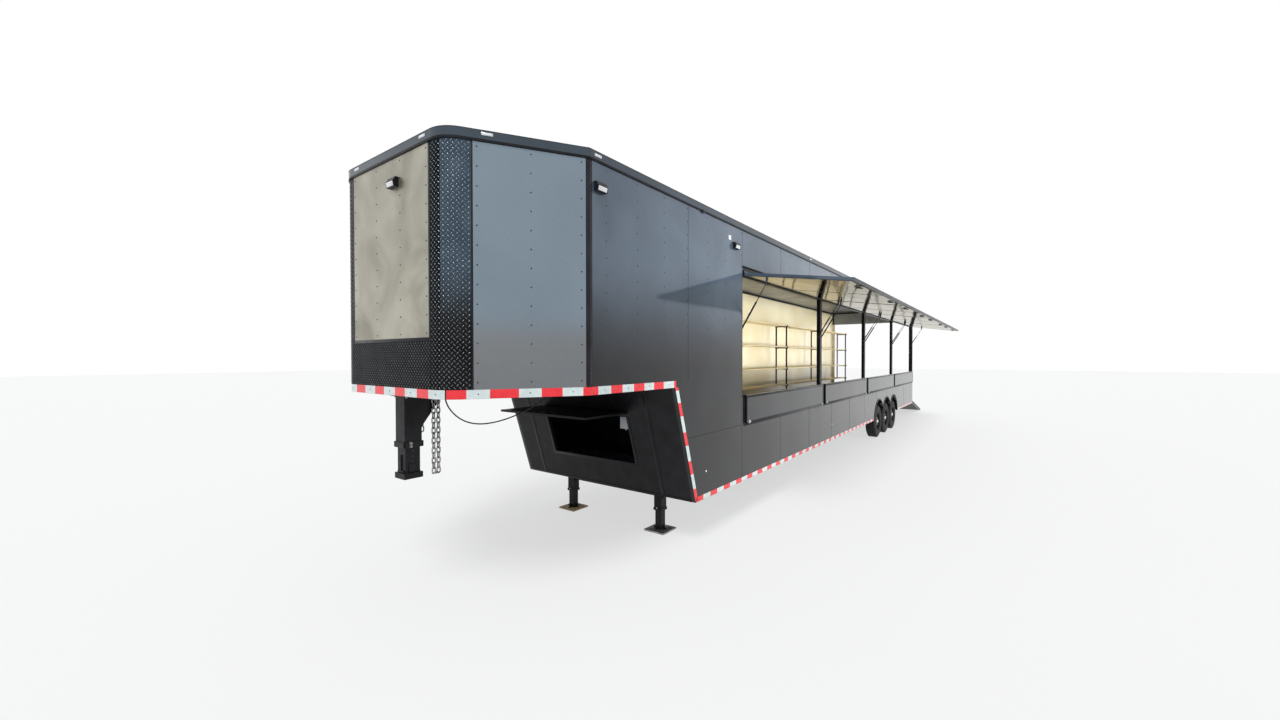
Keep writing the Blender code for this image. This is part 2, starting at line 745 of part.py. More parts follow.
# The hatch's hinge bead, in (x, z)
def hatch_bead():
    z = hatch_opening_top + hatch_overlap + 0.010
    return (drop_x(z) + hatch_bead_out, z)


# Hatch over the belly compartment, held open level
def belly_hatch():
    bead = hatch_bead()
    inner = hook_clear_radius()
    outer = inner + hook_wall
    reach = (hatch_opening_top - hatch_opening_bottom + 2 * hatch_overlap) * 1.06
    under = bead[1] - hook_wall
    lip = degrees(asin(hook_wall / outer))
    loop = arc(bead, outer, lip, hatch_cradle_high, 4) + \
        arc(bead, inner, hatch_cradle_high, hatch_cradle_low, 8) + \
        arc(bead, outer, hatch_cradle_low, -lip, 4) + \
        [(bead[0] + reach, under), (bead[0] + reach, under + hatch_thickness),
         (bead[0] + 0.020, under + hatch_thickness), (bead[0] + 0.020, bead[1] + hook_wall)]
    return place(extruded("belly_hatch", [loop], "Y", hatch_opening_right - hatch_overlap + 0.004,
                          hatch_opening_left + hatch_overlap - 0.004, black_steel))


# Front and rear ends of the notches over the wheels
def wheel_box_ends():
    return (axle_stations[0] + arch_radius + wheel_box_end,
            axle_stations[-1] - arch_radius - wheel_box_end)


# Floor boards, notched over the wheels on each side
def main_floor():
    side = skin_inside - gap
    under = body_bottom + frame_depth + gap
    front_x = drop_x(under) - wall - floor_end_gap
    floor = box("main_floor", (-body_length + rear_frame_depth + gap, -side, under),
                (front_x, side, floor_top), floor_board)
    front, rear = wheel_box_ends()
    notches = []
    for sign in (1, -1):
        ys = sorted((sign * wheel_box_inner_y, sign * (side + 0.05)))
        notches.append(box("notch", (rear, ys[0], under - 0.05), (front, ys[1], floor_top + 0.05)))
    return place(cut(floor, notches))


# A box over the wheels of one side, standing in the floor's notch
def wheel_box(name, sign):
    side = skin_inside - gap
    under = body_bottom + frame_depth + gap
    front, rear = wheel_box_ends()
    sheet = wheel_box_sheet
    ys = sorted((sign * (wheel_box_inner_y + gap), sign * side))
    block = box(name, (rear + gap, ys[0], under), (front - gap, ys[1], wheel_box_top), floor_board)
    ys = sorted((sign * (wheel_box_inner_y + sheet), sign * (side + 0.05)))
    hollow = box("hollow", (rear + sheet, ys[0], under - 0.05), (front - sheet, ys[1], wheel_box_top - sheet))
    return place(cut(block, [hollow]))


# Ladder frame: two rails, cross members and outriggers, cut as one plan outline
def chassis_frame():
    front_x = drop_bottom_x - wall - 0.010
    rear_x = -body_length + rear_frame_depth + gap
    rail_out = beam_y + beam_width / 2 + 0.010
    rail_in = rail_out - 0.080
    member = 0.120
    reach = skin_inside - gap
    count = 12
    pitch = (leg_station - (rear_x + member)) / count
    stations = [leg_station - i * pitch for i in range(count + 1)]
    wheel_front = axle_stations[0] + arch_radius + 0.05
    wheel_rear = axle_stations[-1] - arch_radius - 0.05
    left = [(front_x, rail_out)]
    for x in stations:
        front, rear = min(x + member / 2, front_x), max(x - member / 2, rear_x)
        if wheel_rear < x < wheel_front:
            continue
        left += [(front, rail_out), (front, reach), (rear, reach), (rear, rail_out)]
    left.append((rear_x, rail_out))
    cleaned = [left[0]]
    for point in left[1:]:
        if hypot(point[0] - cleaned[-1][0], point[1] - cleaned[-1][1]) > 0.0005:
            cleaned.append(point)
    outer = cleaned + [(x, -y) for x, y in reversed(cleaned)]
    holes = []
    for a, b in zip(stations, stations[1:]):
        holes.append([(a - member / 2, rail_in), (b + member / 2, rail_in),
                      (b + member / 2, -rail_in), (a - member / 2, -rail_in)])
    return place(extruded("chassis_frame", [outer] + holes, "Z", body_bottom,
                          body_bottom + frame_depth, black_steel))


# Three axles with their spindles, carried by a beam under each frame rail
def running_gear():
    top = body_bottom - gap
    spindle_end = wheel_outer_y - tyre_width / 2 + rim_width / 2 - 0.020
    shoulder = wheel_inner_y - 0.015
    beams = []
    for sign in (1, -1):
        ys = sorted((sign * (beam_y - beam_width / 2), sign * (beam_y + beam_width / 2)))
        beams.append(box("beam", (axle_stations[-1] - beam_overhang, ys[0], tyre_radius - 0.020),
                         (axle_stations[0] + beam_overhang, ys[1], top), black_steel))
    gear = beams[0]
    gear.name = "running_gear"
    tools = []
    for x in axle_stations:
        tools.append(rod("axle", (x, -shoulder, tyre_radius), (x, shoulder, tyre_radius), axle_radius, 16))
        tools.append(rod("spindle", (x, -spindle_end, tyre_radius), (x, spindle_end, tyre_radius),
                         spindle_radius, 16))
    first = tools[0]
    unite(gear, [first, beams[1]] + tools[1:])
    return place(shade_smooth(gear))


def tyre_profile():
    half = tyre_width / 2
    shoulder = tyre_radius - 0.022
    return [(tyre_bore, -half + 0.030), (tyre_bore + 0.025, -half + 0.012), (0.305, -half),
            (shoulder, -half + 0.016), (tyre_radius, -half + 0.044), (tyre_radius, half - 0.044),
            (shoulder, half - 0.016), (0.305, half), (tyre_bore + 0.025, half - 0.012),
            (tyre_bore, half - 0.030)]


# Section of the rim: hub boss, disc and the well between two seats
def rim_profile():
    half = rim_width / 2
    seat = tyre_bore - gap
    hub_bore = spindle_radius + hub_clearance
    return [(hub_bore, half - hub_length), (hub_bore, half), (hub_radius, half),
            (rim_well, half - 0.045),
            (seat - rim_wall, half), (seat, half), (seat, half - 0.025),
            (rim_well + rim_wall, half - 0.060), (rim_well + rim_wall, -half + 0.040), (seat, -half + 0.015),
            (seat, -half), (seat - rim_wall, -half), (rim_well, half - 0.075),
            (hub_radius, half - hub_length)]


def wheels():
    tyre = turned_ring("tyre", tyre_profile(), wheel_facets, rubber)
    rim = turned_ring("rim", rim_profile(), wheel_facets, black_steel)
    tyre_mesh, rim_mesh = tyre.data, rim.data
    bpy.data.objects.remove(tyre, do_unlink=True)
    bpy.data.objects.remove(rim, do_unlink=True)
    centre_y = wheel_outer_y - tyre_width / 2
    for number, x in enumerate(axle_stations, start=1):
        for side, sign in (("left", 1), ("right", -1)):
            for kind, mesh in (("tyre", tyre_mesh), ("rim", rim_mesh)):
                piece = bpy.data.objects.new("%s_%d_%s" % (kind, number, side), mesh)
                collection.objects.link(piece)
                piece.location = (x, sign * centre_y, tyre_radius)
                piece.rotation_euler = (0, 0, 0 if sign > 0 else pi)
                shade_smooth(piece)
                place(piece)


# Two drop legs on a shared cross shaft, each with a square foot
def landing_gear():
    top = body_bottom - gap
    tools = []
    for sign in (1, -1):
        y = sign * leg_y
        half = leg_outer / 2
        tools.append(box("plate", (leg_station - 0.060, y - 0.090, top - 0.014),
                         (leg_station + 0.060, y + 0.090, top), black_steel))
        tools.append(box("sleeve", (leg_station - half, y - half, leg_sleeve_bottom),
                         (leg_station + half, y + half, top - 0.004)))
        half = leg_inner / 2
        tools.append(box("leg", (leg_station - half, y - half, 0.008),
                         (leg_station + half, y + half, leg_sleeve_bottom + 0.010)))
        half = leg_foot / 2
        tools.append(box("foot", (leg_station - half, y - half, 0.0),
                         (leg_station + half, y + half, leg_foot_thickness)))
    shaft_z = top - 0.070
    shaft = rod("shaft", (leg_station, -leg_y, shaft_z), (leg_station, leg_y, shaft_z), 0.016, 12)
    legs = tools[0]
    legs.name = "landing_gear"
    # one leg, the shaft, then the other leg
    unite(legs, tools[1:4] + [shaft] + [tools[5], tools[4], tools[6], tools[7]])
    return place(legs)


def coupler():
    half = coupler_tube / 2
    top = nose_bottom - gap
    x, z0 = coupler_station, coupler_tube_bottom
    tube = box("coupler_tube", (x - half, -half, z0), (x + half, half, top), black_steel)
    plate = box("plate", (x - half - gusset_run, -half - 0.030, top - 0.014),
                (x + half + 0.020, half + 0.030, top))
    tools = [plate]
    for sign in (1, -1):
        low, high = sorted((sign * (half - gusset_thickness), sign * half))
        web = [(x - half + 0.004, top - 0.004), (x - half - gusset_run, top - 0.004),
               (x - half - gusset_run, top - 0.040), (x - half + 0.004, top - gusset_height)]
        tools.append(extruded("web", [web], "Y", low, high, None))
    unite(tube, tools)
    inner = coupler_stem / 2 + gap
    bar_x, bar_z = chain_bar()
    reach = half + 0.050
    bores = [box("bore", (x - inner, -inner, z0 - 0.01), (x + inner, inner, coupler_stem_top + 0.03))]
    for at in (bar_x, bar_x - link_pitch()):
        bores.append(rod("eye", (at, -reach, bar_z), (at, reach, bar_z), chain_bar_radius + gap, 10))
    cut(tube, bores)
    place(tube)
    half = coupler_stem / 2
    stem = box("coupler_stem", (x - half, -half, coupler_bottom + 0.010), (x + half, half, coupler_stem_top),
               grey_steel)
    half = coupler_collar / 2
    collar = box("collar", (x - half, -half, coupler_bottom),
                 (x + half, half, coupler_bottom + coupler_collar_height))
    unite(stem, [collar])
    socket = rod("socket", (x, 0, coupler_bottom - 0.01), (x, 0, coupler_bottom + ball_socket_depth),
                 ball_socket_radius, 20)
    place(cut(stem, [socket]))


# Centre of the chains' front shackle bar, in (x, z)
def chain_bar():
    return (coupler_station - coupler_tube / 2 - chain_bar_back, nose_bottom - chain_bar_drop)


# One link, long along local Z and flat in local XZ
def chain_link():
    bm = bmesh.new()
    straight = (link_length - link_width) / 2
    segments, sides = 8, 4
    rings = []
    for k in range(segments):
        a = 2 * pi * k / segments
        outward = Vector((sin(a), 0, cos(a)))
        shift = Vector((0, 0, straight if cos(a) > 0 else -straight))
        centre = outward * (link_width / 2 - link_wire) + shift
        rings.append([bm.verts.new(centre + outward * link_wire * cos(2 * pi * s / sides)
                                   + Vector((0, 1, 0)) * link_wire * sin(2 * pi * s / sides))
                      for s in range(sides)])
    for k in range(segments):
        a, b = rings[k], rings[(k + 1) % segments]
        for s in range(sides):
            bm.faces.new((a[s], a[(s + 1) % sides], b[(s + 1) % sides], b[s]))
    return mesh_from(bm, "link")


# Distance between the places where a link touches its two neighbours
def link_pitch():
    return link_length - 4 * link_wire + link_bite


# Safety chains: a loop hung on two shackle bars through the gussets on the left, a short
# end on the right
def safety_chains():
    x, z = chain_bar()
    pitch = link_pitch()
    y = coupler_tube / 2 + chain_side_gap
    ends = y + link_wire * 1.5
    bars = [rod("safety_chains", (at, -ends, z), (at, ends, z), chain_bar_radius, 10, grey_steel)
            for at in (x, x - pitch)]
    hang = z + chain_bar_radius - link_bite / 2
    loop = [(0.0, -1.0)] * loop_links + [(-1.0, 0.0)] + [(0.0, 1.0)] * loop_links
    bar, tools = bars[0], []
    link = chain_link()
    for sign, run in ((1, loop), (-1, [(0.0, -1.0)] * short_links)):
        at = Vector((x, sign * y, hang))
        for i, (tx, tz) in enumerate(run):
            step = Vector((tx, 0, tz)) * pitch
            lean = Matrix.Rotation(atan2(tx, tz), 4, "Y")
            roll = Matrix.Rotation(pi / 2 if i % 2 else 0, 4, "Z")
            mesh = link.copy()
            mesh.transform(Matrix.Translation(at + step / 2) @ lean @ roll)
            tools.append(add_object("link", mesh, None))
            at += step
    bpy.data.meshes.remove(link)
    return place(shade_smooth(unite(bar, tools + bars[1:])))


# Rear door frame with its sill, its lamps and the ears that carry the ramp
def rear_frame():
    side = skin_inside - gap
    outer = [(-side, body_bottom), (side, body_bottom), (side, wall_top), (-side, wall_top)]
    doorway = [(-doorway_half_width, floor_top), (doorway_half_width, floor_top),
               (doorway_half_width, doorway_top), (-doorway_half_width, doorway_top)]
    frame = extruded("rear_frame", [outer, doorway], "X", -body_length,
                     -body_length + rear_frame_depth, black_trim)
    hinge = (-body_length - ramp_hinge_out, ramp_hinge_height)
    tools = []
    for y in ramp_knuckles:
        for sign in (1, -1):
            at = y + sign * (ramp_knuckle_half + gap + ramp_ear / 2)
            tools.append(box("ear", (hinge[0] - ramp_ear_reach, at - ramp_ear / 2,
                                     hinge[1] - ramp_ear_reach),
                             (-body_length + 0.004, at + ramp_ear / 2, hinge[1] + ramp_ear_reach)))
    rear, back = -body_length - tail_lamp_depth, -body_length + 0.004
    for sign in (1, -1):
        at = sign * (side - tail_lamp_y_inset)
        for bottom, height in tail_lamps:
            tools.append(box("lamp", (rear, at - tail_lamp_width / 2, bottom),
                             (back, at + tail_lamp_width / 2, bottom + height)))
    for y in header_lamps:
        tools.append(box("lamp", (rear, y - header_lamp_half, header_lamp_z - header_lamp_height / 2),
                         (back, y + header_lamp_half, header_lamp_z + header_lamp_height / 2)))
    return place(unite(frame, tools))


# Ramp door, lowered until its free edge is on the ground
def ramp_angle():
    # the panel's lower face runs from below the hinge to the ground
    return asin((ramp_hinge_height - ramp_thickness / 2 - ramp_tip_height) / ramp_length)


def rear_ramp():
    hinge = (-body_length - ramp_hinge_out, ramp_hinge_height)
    droop = ramp_angle()
    start = ramp_edge_clear
    half = ramp_thickness / 2
    profile = [(start, half), (ramp_length - ramp_bevel_run, half),
               (ramp_length, -half + ramp_tip_thickness), (ramp_length, -half), (start, -half)]
    loop = [(hinge[0] - s * cos(droop) - t * sin(droop), hinge[1] - s * sin(droop) + t * cos(droop))
            for s, t in profile]
    side = doorway_half_width + ramp_side_lap
    ramp = extruded("rear_ramp", [loop], "Y", -side, side, charcoal)
    # knuckles round the hinge pins
    tools = []
    for y in ramp_knuckles:
        tools.append(rod("knuckle", (hinge[0], y - ramp_knuckle_half, hinge[1]),
                         (hinge[0], y + ramp_knuckle_half, hinge[1]), ramp_edge_clear + 0.003, 14))
    return place(unite(ramp, tools))


def shelf_unit():
    y0, y1 = shelf_front_y - shelf_depth, shelf_front_y
    boards = [box("shelf_unit", (shelf_end_x, y0, z - shelf_thickness), (shelf_start_x, y1, z), shelf_wood)
              for z in shelf_levels]
    tools = []
    pitch = (shelf_start_x - shelf_end_x - shelf_post) / shelf_bays
    for i in range(shelf_bays + 1):
        x = shelf_start_x - shelf_post / 2 - i * pitch
        # the back posts stand on the lowest board, clear of the wheel box
        for y, foot in ((y0 + shelf_post, shelf_levels[0] - shelf_thickness - 0.010),
                        (y1 - shelf_post, floor_top + gap)):
            tools.append(box("post", (x - shelf_post / 2, y - shelf_post / 2, foot),
                             (x + shelf_post / 2, y + shelf_post / 2,
                              shelf_levels[-1] + shelf_post_rise)))
    unit = boards[0]
    unit.name = "shelf_unit"
    unite(unit, tools + boards[1:])
    return place(unit)


def smooth_route(points, per_span):
    route = []
    count = len(points)
    for i in range(count - 1):
        p0, p1, p2, p3 = (Vector(points[max(i - 1, 0)]), Vector(points[i]), Vector(points[i + 1]),
                          Vector(points[min(i + 2, count - 1)]))
        for k in range(per_span):
            t = k / per_span
            route.append(0.5 * ((2 * p1) + (p2 - p0) * t + (2 * p0 - 5 * p1 + 4 * p2 - p3) * t ** 2
                                + (3 * p1 - p0 - 3 * p2 + p3) * t ** 3))
    route.append(Vector(points[-1]))
    return route


def brake_cable():
    curve = bpy.data.curves.new("brake_cable", "CURVE")
    curve.dimensions = "3D"
    curve.bevel_depth = cable_radius
    curve.bevel_resolution = 2
    curve.use_fill_caps = True
    spline = curve.splines.new("POLY")
    route = smooth_route(cable_points, 3)
    spline.points.add(len(route) - 1)
    for point, co in zip(spline.points, route):
        point.co = (*co, 1.0)
    return place(shade_smooth(curve_to_mesh("brake_cable", curve, Matrix(), cable_rubber)))


nose_wall()
side_wall_front("side_wall_left_front", 1, side_lamps)
side_wall_rear("side_wall_left_bays", 1, True)
side_wall_front("side_wall_right_front", -1)
side_wall_rear("side_wall_right_rear", -1, False)
bay_frame()
hinge_rail_upper()
roof()
nose_floor()
main_floor()
wheel_box("wheel_box_left", 1)
wheel_box("wheel_box_right", -1)
chassis_frame()
drop_wall()
belly_hatch()
for bay in range(bay_count):
    awning(bay)
    flap(bay)
gas_struts()
running_gear()
wheels()
landing_gear()
coupler()
safety_chains()
rear_frame()
rear_ramp()
shelf_unit()
brake_cable()

# World origin: on the ground, under the middle of the outline
front_reach = lamp_depth
rear_reach = body_length + ramp_hinge_out + ramp_length * cos(ramp_angle()) - \
    (ramp_thickness / 2 - ramp_tip_thickness) * sin(ramp_angle())
left_reach = half_width + bead_out + awning_reach * cos(radians(awning_droop)) - \
    bead_out * sin(radians(awning_droop))
right_reach = half_width + roof_rail_proud
trailer.location = ((rear_reach - front_reach) / 2, (right_reach - left_reach) / 2, 0.0)
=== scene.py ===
from math import sin, cos, tan, atan2, radians, pi, hypot

import bpy
import bmesh
from mathutils import Matrix, Vector


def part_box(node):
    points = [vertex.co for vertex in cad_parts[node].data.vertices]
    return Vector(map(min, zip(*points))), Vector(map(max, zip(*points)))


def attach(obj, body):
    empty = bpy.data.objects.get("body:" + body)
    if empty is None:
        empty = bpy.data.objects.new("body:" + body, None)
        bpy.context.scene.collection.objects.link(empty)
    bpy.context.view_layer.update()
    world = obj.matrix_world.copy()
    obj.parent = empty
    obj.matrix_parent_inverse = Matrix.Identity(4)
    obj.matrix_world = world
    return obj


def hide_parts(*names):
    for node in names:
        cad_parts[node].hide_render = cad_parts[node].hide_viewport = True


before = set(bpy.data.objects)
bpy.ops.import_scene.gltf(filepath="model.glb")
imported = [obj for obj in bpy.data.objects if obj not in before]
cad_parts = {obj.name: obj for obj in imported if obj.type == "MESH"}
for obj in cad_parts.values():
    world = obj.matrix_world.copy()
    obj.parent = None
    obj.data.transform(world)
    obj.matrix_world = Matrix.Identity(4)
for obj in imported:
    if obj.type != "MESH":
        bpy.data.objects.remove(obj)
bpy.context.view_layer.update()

# Everything below is laid out in stations: x runs back from the nose (0 at its flat
# front), y across from the middle (the serving side is positive), z up from the ground.
railOut = 0.008         # the roof's rail stands out from the skin
roofLow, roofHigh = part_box("roof")
noseX = roofHigh[0] - railOut
midY = (roofLow[1] + roofHigh[1]) / 2
toWorld = Matrix.Translation((noseX, midY, 0.0))

body = {
    "length": 16.154,
    "halfWidth": 1.2955,
    "noseHalf": 0.749,
    "noseRun": 0.893,
    "noseBottom": 1.671,
    "bottom": 0.462,
    "tapeTop": 1.737,
    "railLow": 3.488,
    "roofTop": 3.571,
    "dropTopX": -2.083,
    "dropBottomX": -2.465,
    "wall": 0.040,
    "floorTop": 0.620,
    "doorwaySide": 0.1055,      # from the body's side to the rear doorway
}
bays = {
    "count": 4,
    "start": -3.610,
    "pitch": 3.130,
    "post": 0.100,
    "sill": 1.485,
    "top": 2.950,
}
bayStarts = [bays["start"] - i * bays["pitch"] for i in range(bays["count"] + 1)]
bayEnds = [(front, rear + bays["post"]) for front, rear in zip(bayStarts, bayStarts[1:])]
axleX = [-11.156, -12.0705, -12.985]


# Materials
# What every finish shares: where its two tones meet, the wear in its roughness, its clear coat
# and the detail of bumps that are slow waves
finishBase = {"stops": (0.32, 0.68), "wearScale": 2.7, "wearDetail": 4.0, "wearSpan": (0.2, 0.8),
              "coatRough": 0.06, "slowBelow": 10.0, "slowDetail": 0.6}
bumpTextures = {
    "noise": ("TexNoise", "Fac"),
    "cells": ("TexVoronoi", "Distance"),
    "lines": ("TexWave", "Fac"),
}


# A node with its set values and with what feeds its other inputs
def addNode(tree, kind, values=None, feeds=None):
    node = tree.nodes.new("ShaderNode" + kind)
    for name, value in (values or {}).items():
        node.inputs[name].default_value = value
    for name, source in (feeds or {}).items():
        tree.links.new(source, node.inputs[name])
    return node


def finishMaterial(name, dark, light, rough=(0.3, 0.4), metallic=0.0, mottle=3.0, detail=6.0,
                   bumps=(), stretch=(1.0, 1.0, 1.0), coat=0.0, specular=0.5, stops=None, reflectionStreaks=0.0,
                   above=None, edge=(1.0, 1.0, 1.0)):
    material = bpy.data.materials.new(name)
    material.use_nodes = True
    tree = material.node_tree
    shader = tree.nodes["Principled BSDF"]
    for socket, value in (("Metallic", metallic), ("Coat Weight", coat), ("Specular IOR Level", specular),
                          ("Coat Roughness", finishBase["coatRough"]), ("Specular Tint", (*edge, 1.0))):
        shader.inputs[socket].default_value = value
    place = addNode(tree, "TexCoord").outputs["Object"]
    spot = addNode(tree, "Mapping", {"Scale": stretch}, {"Vector": place}).outputs["Vector"]
    # This noise's Distortion twists the mottle of the tones into wavy streaks that stand in for reflections:
    # a painted reflection.
    noise = addNode(tree, "TexNoise", {"Scale": mottle, "Detail": detail, "Distortion": reflectionStreaks},
                    {"Vector": spot})

    def mottled(dark, light):
        ramp = addNode(tree, "ValToRGB", feeds={"Fac": noise.outputs["Fac"]})
        ends = zip(ramp.color_ramp.elements, stops or finishBase["stops"], (dark, light))
        for element, position, tone in ends:
            element.position = position
            element.color = (*tone, 1.0)
        return ramp.outputs["Color"]

    colour = mottled(dark, light)
    if above:
        # painted reflection: a second pair of tones, standing in for the sky reflected high up, takes over
        # between two heights
        reflectedDark, reflectedLight, low, high = above
        height = addNode(tree, "SeparateXYZ", feeds={"Vector": place}).outputs["Z"]
        rise = addNode(tree, "MapRange", {"From Min": low, "From Max": high}, {"Value": height})
        rise.interpolation_type = "SMOOTHSTEP"
        colour = addNode(tree, "MixRGB", feeds={"Fac": rise.outputs["Result"], "Color1": colour,
                                                "Color2": mottled(reflectedDark, reflectedLight)}).outputs["Color"]
    tree.links.new(colour, shader.inputs["Base Color"])
    wear = addNode(tree, "TexNoise", {"Scale": mottle * finishBase["wearScale"],
                                      "Detail": finishBase["wearDetail"]}, {"Vector": spot})
    wearLow, wearHigh = finishBase["wearSpan"]
    spread = addNode(tree, "MapRange", {"From Min": wearLow, "From Max": wearHigh, "To Min": rough[0],
                                        "To Max": rough[1]}, {"Value": wear.outputs["Fac"]})
    tree.links.new(spread.outputs["Result"], shader.inputs["Roughness"])
    # bumps: kind, scale, strength, depth in metres and, for some, a stretch of their own
    normal = None
    for kind, scale, strength, depth, *own in bumps:
        source = spot
        if own:
            source = addNode(tree, "Mapping", {"Scale": own[0]}, {"Vector": place}).outputs["Vector"]
        texture, height = bumpTextures[kind]
        texture = addNode(tree, texture, {"Scale": scale}, {"Vector": source})
        if kind == "noise" and scale < finishBase["slowBelow"]:
            texture.inputs["Detail"].default_value = finishBase["slowDetail"]
        feeds = {"Height": texture.outputs[height]}
        if normal:
            feeds["Normal"] = normal
        normal = addNode(tree, "Bump", {"Strength": strength, "Distance": depth}, feeds).outputs["Normal"]
    if normal:
        tree.links.new(normal, shader.inputs["Normal"])
    return material


oilCan = ("noise", 1.3, 0.55, 0.010)        # the slow waves of thin sheet on a frame
orangePeel = ("noise", 260.0, 0.05, 0.001)
plateGrain = (("noise", 4.0, 0.35, 0.004), ("noise", 220.0, 0.10, 0.0006))
tapeCells = (("cells", 420.0, 0.18, 0.0004),)

# Charcoal paint, near black low down; above about 1.85 m it turns lighter and bluer, a painted reflection of
# the sky, and its mottle is streaked as a painted reflection.
sidePaintAndReflection = finishMaterial(
    "charcoalPaintSkyReflection", (0.008, 0.008, 0.009), (0.018, 0.019, 0.021), (0.07, 0.12), 0.3, 1.1,
    bumps=(oilCan, orangePeel), coat=0.4, specular=0.25, reflectionStreaks=0.8,
    above=((0.075, 0.102, 0.138), (0.112, 0.148, 0.195), 1.85, 2.90))
# Grey paint on the nose's corners; above about 2.02 m it turns bluer, a painted reflection of the sky, and
# its mottle is streaked as a painted reflection.
cornerPaintAndReflection = finishMaterial(
    "noseGreyPaintSkyReflection", (0.150, 0.160, 0.170), (0.178, 0.188, 0.198), (0.24, 0.30), 0.60, 0.9,
    bumps=(oilCan, orangePeel), coat=0.35, reflectionStreaks=0.6,
    above=((0.165, 0.215, 0.262), (0.195, 0.250, 0.302), 2.02, 2.36))
# Champagne sheet whose wide, streaked mottle from dark to light is partly its own tone and partly a painted
# reflection of clouds and trees.
champagne = finishMaterial(
    "champagneSheetAndReflection", (0.245, 0.232, 0.180), (0.430, 0.412, 0.338), (0.28, 0.40), 0.70, 1.3, 9.0,
    bumps=(("noise", 2.2, 0.7, 0.012), ("noise", 320.0, 0.08, 0.0006)), coat=0.15, reflectionStreaks=1.6)
railPaint = finishMaterial(
    "slateRail", (0.034, 0.048, 0.064), (0.048, 0.066, 0.086), (0.16, 0.24), 0.4, 2.2,
    bumps=(orangePeel,), coat=0.3, specular=0.3)
rivetSteel = finishMaterial(
    "rivetSteel", (0.010, 0.011, 0.012), (0.030, 0.032, 0.034), (0.16, 0.28), 0.5, 40.0,
    bumps=(("noise", 240.0, 0.10, 0.0006),), coat=0.2)
blackTrim = finishMaterial(
    "blackAnodised", (0.006, 0.006, 0.008), (0.014, 0.015, 0.018), (0.25, 0.40), 0.2, 5.0,
    bumps=(("noise", 180.0, 0.10, 0.0008),), specular=0.2)
blackSteel = finishMaterial(
    "blackEnamel", (0.005, 0.005, 0.006), (0.015, 0.015, 0.017), (0.30, 0.50), 0.0, 6.0,
    bumps=(("noise", 90.0, 0.22, 0.0012),), specular=0.16)
blackTread = finishMaterial(
    "blackTreadPlate", (0.004, 0.004, 0.005), (0.012, 0.013, 0.014), (0.20, 0.34), 0.0, 7.0,
    bumps=plateGrain, specular=0.02)
# A copy of the black tread plate for the nose's bends and corners, lighter and bluer above about 2.15 m: a
# painted reflection of the sky.
treadSkyReflection = finishMaterial(
    "treadPlateSkyReflection", (0.006, 0.006, 0.007), (0.014, 0.015, 0.016), (0.16, 0.30), 0.2, 7.0,
    bumps=plateGrain, specular=0.06, above=((0.040, 0.060, 0.080), (0.062, 0.088, 0.114), 2.15, 2.70))
# The raised bars are far lighter than their black plate, a painted glint, and lighter and bluer above about
# 2.2 m, a painted reflection of the sky.
treadBarGlint = finishMaterial(
    "treadBarPaintedGlint", (0.075, 0.078, 0.082), (0.150, 0.155, 0.160), (0.12, 0.22), 0.7, 9.0,
    bumps=plateGrain[1:], coat=0.3, above=((0.110, 0.140, 0.170), (0.170, 0.210, 0.250), 2.20, 2.60))
greySteel = finishMaterial(
    "zincSteel", (0.20, 0.20, 0.20), (0.42, 0.42, 0.41), (0.28, 0.50), 0.9, 14.0,
    bumps=(("noise", 160.0, 0.25, 0.0010),))
brightSteel = finishMaterial(
    "brightSteel", (0.60, 0.60, 0.60), (0.78, 0.78, 0.77), (0.08, 0.18), 1.0, 8.0,
    bumps=(("noise", 120.0, 0.06, 0.0006),))
# Polished sheet under the awnings; its brownish tones, mottled from dark to light in stretched wavy streaks,
# are partly a painted reflection of the ground.
polishedSheetAndReflection = finishMaterial(
    "polishedSheetGroundReflection", (0.110, 0.104, 0.078), (0.400, 0.380, 0.300), (0.05, 0.13), 1.0, 1.6, 5.0,
    bumps=(("noise", 1.1, 0.9, 0.010, (1.0, 2.6, 2.6)), ("noise", 4.0, 0.5, 0.002, (1.0, 3.0, 3.0))),
    stretch=(1.0, 2.4, 2.4), reflectionStreaks=1.2, edge=(0.60, 0.56, 0.44))
rubber = finishMaterial(
    "tyreRubber", (0.010, 0.010, 0.010), (0.024, 0.023, 0.022), (0.62, 0.88), 0.0, 12.0,
    bumps=(("noise", 240.0, 0.35, 0.0012),))
tapeRed = finishMaterial(
    "tapeRed", (0.72, 0.006, 0.016), (0.86, 0.012, 0.026), (0.22, 0.34), 0.0, 20.0,
    bumps=tapeCells, coat=0.4)
tapeWhite = finishMaterial(
    "tapeWhite", (0.54, 0.62, 0.61), (0.66, 0.73, 0.72), (0.22, 0.34), 0.0, 20.0,
    bumps=tapeCells, coat=0.4)
liningCream = finishMaterial(
    "creamLining", (0.90, 0.79, 0.50), (0.97, 0.90, 0.66), (0.12, 0.22), 0.0, 1.1,
    bumps=(("noise", 1.1, 0.35, 0.008), ("cells", 140.0, 0.06, 0.0005)), coat=0.5)
ceilingGrey = finishMaterial(
    "greyLining", (0.10, 0.105, 0.105), (0.17, 0.175, 0.170), (0.26, 0.40), 0.1, 1.5,
    bumps=(("noise", 1.4, 0.3, 0.006),))
floorRubber = finishMaterial(
    "coinFloor", (0.19, 0.215, 0.24), (0.27, 0.30, 0.33), (0.28, 0.42), 0.0, 5.0,
    bumps=(("cells", 42.0, 0.30, 0.0010), ("noise", 160.0, 0.12, 0.0006)), coat=0.5)
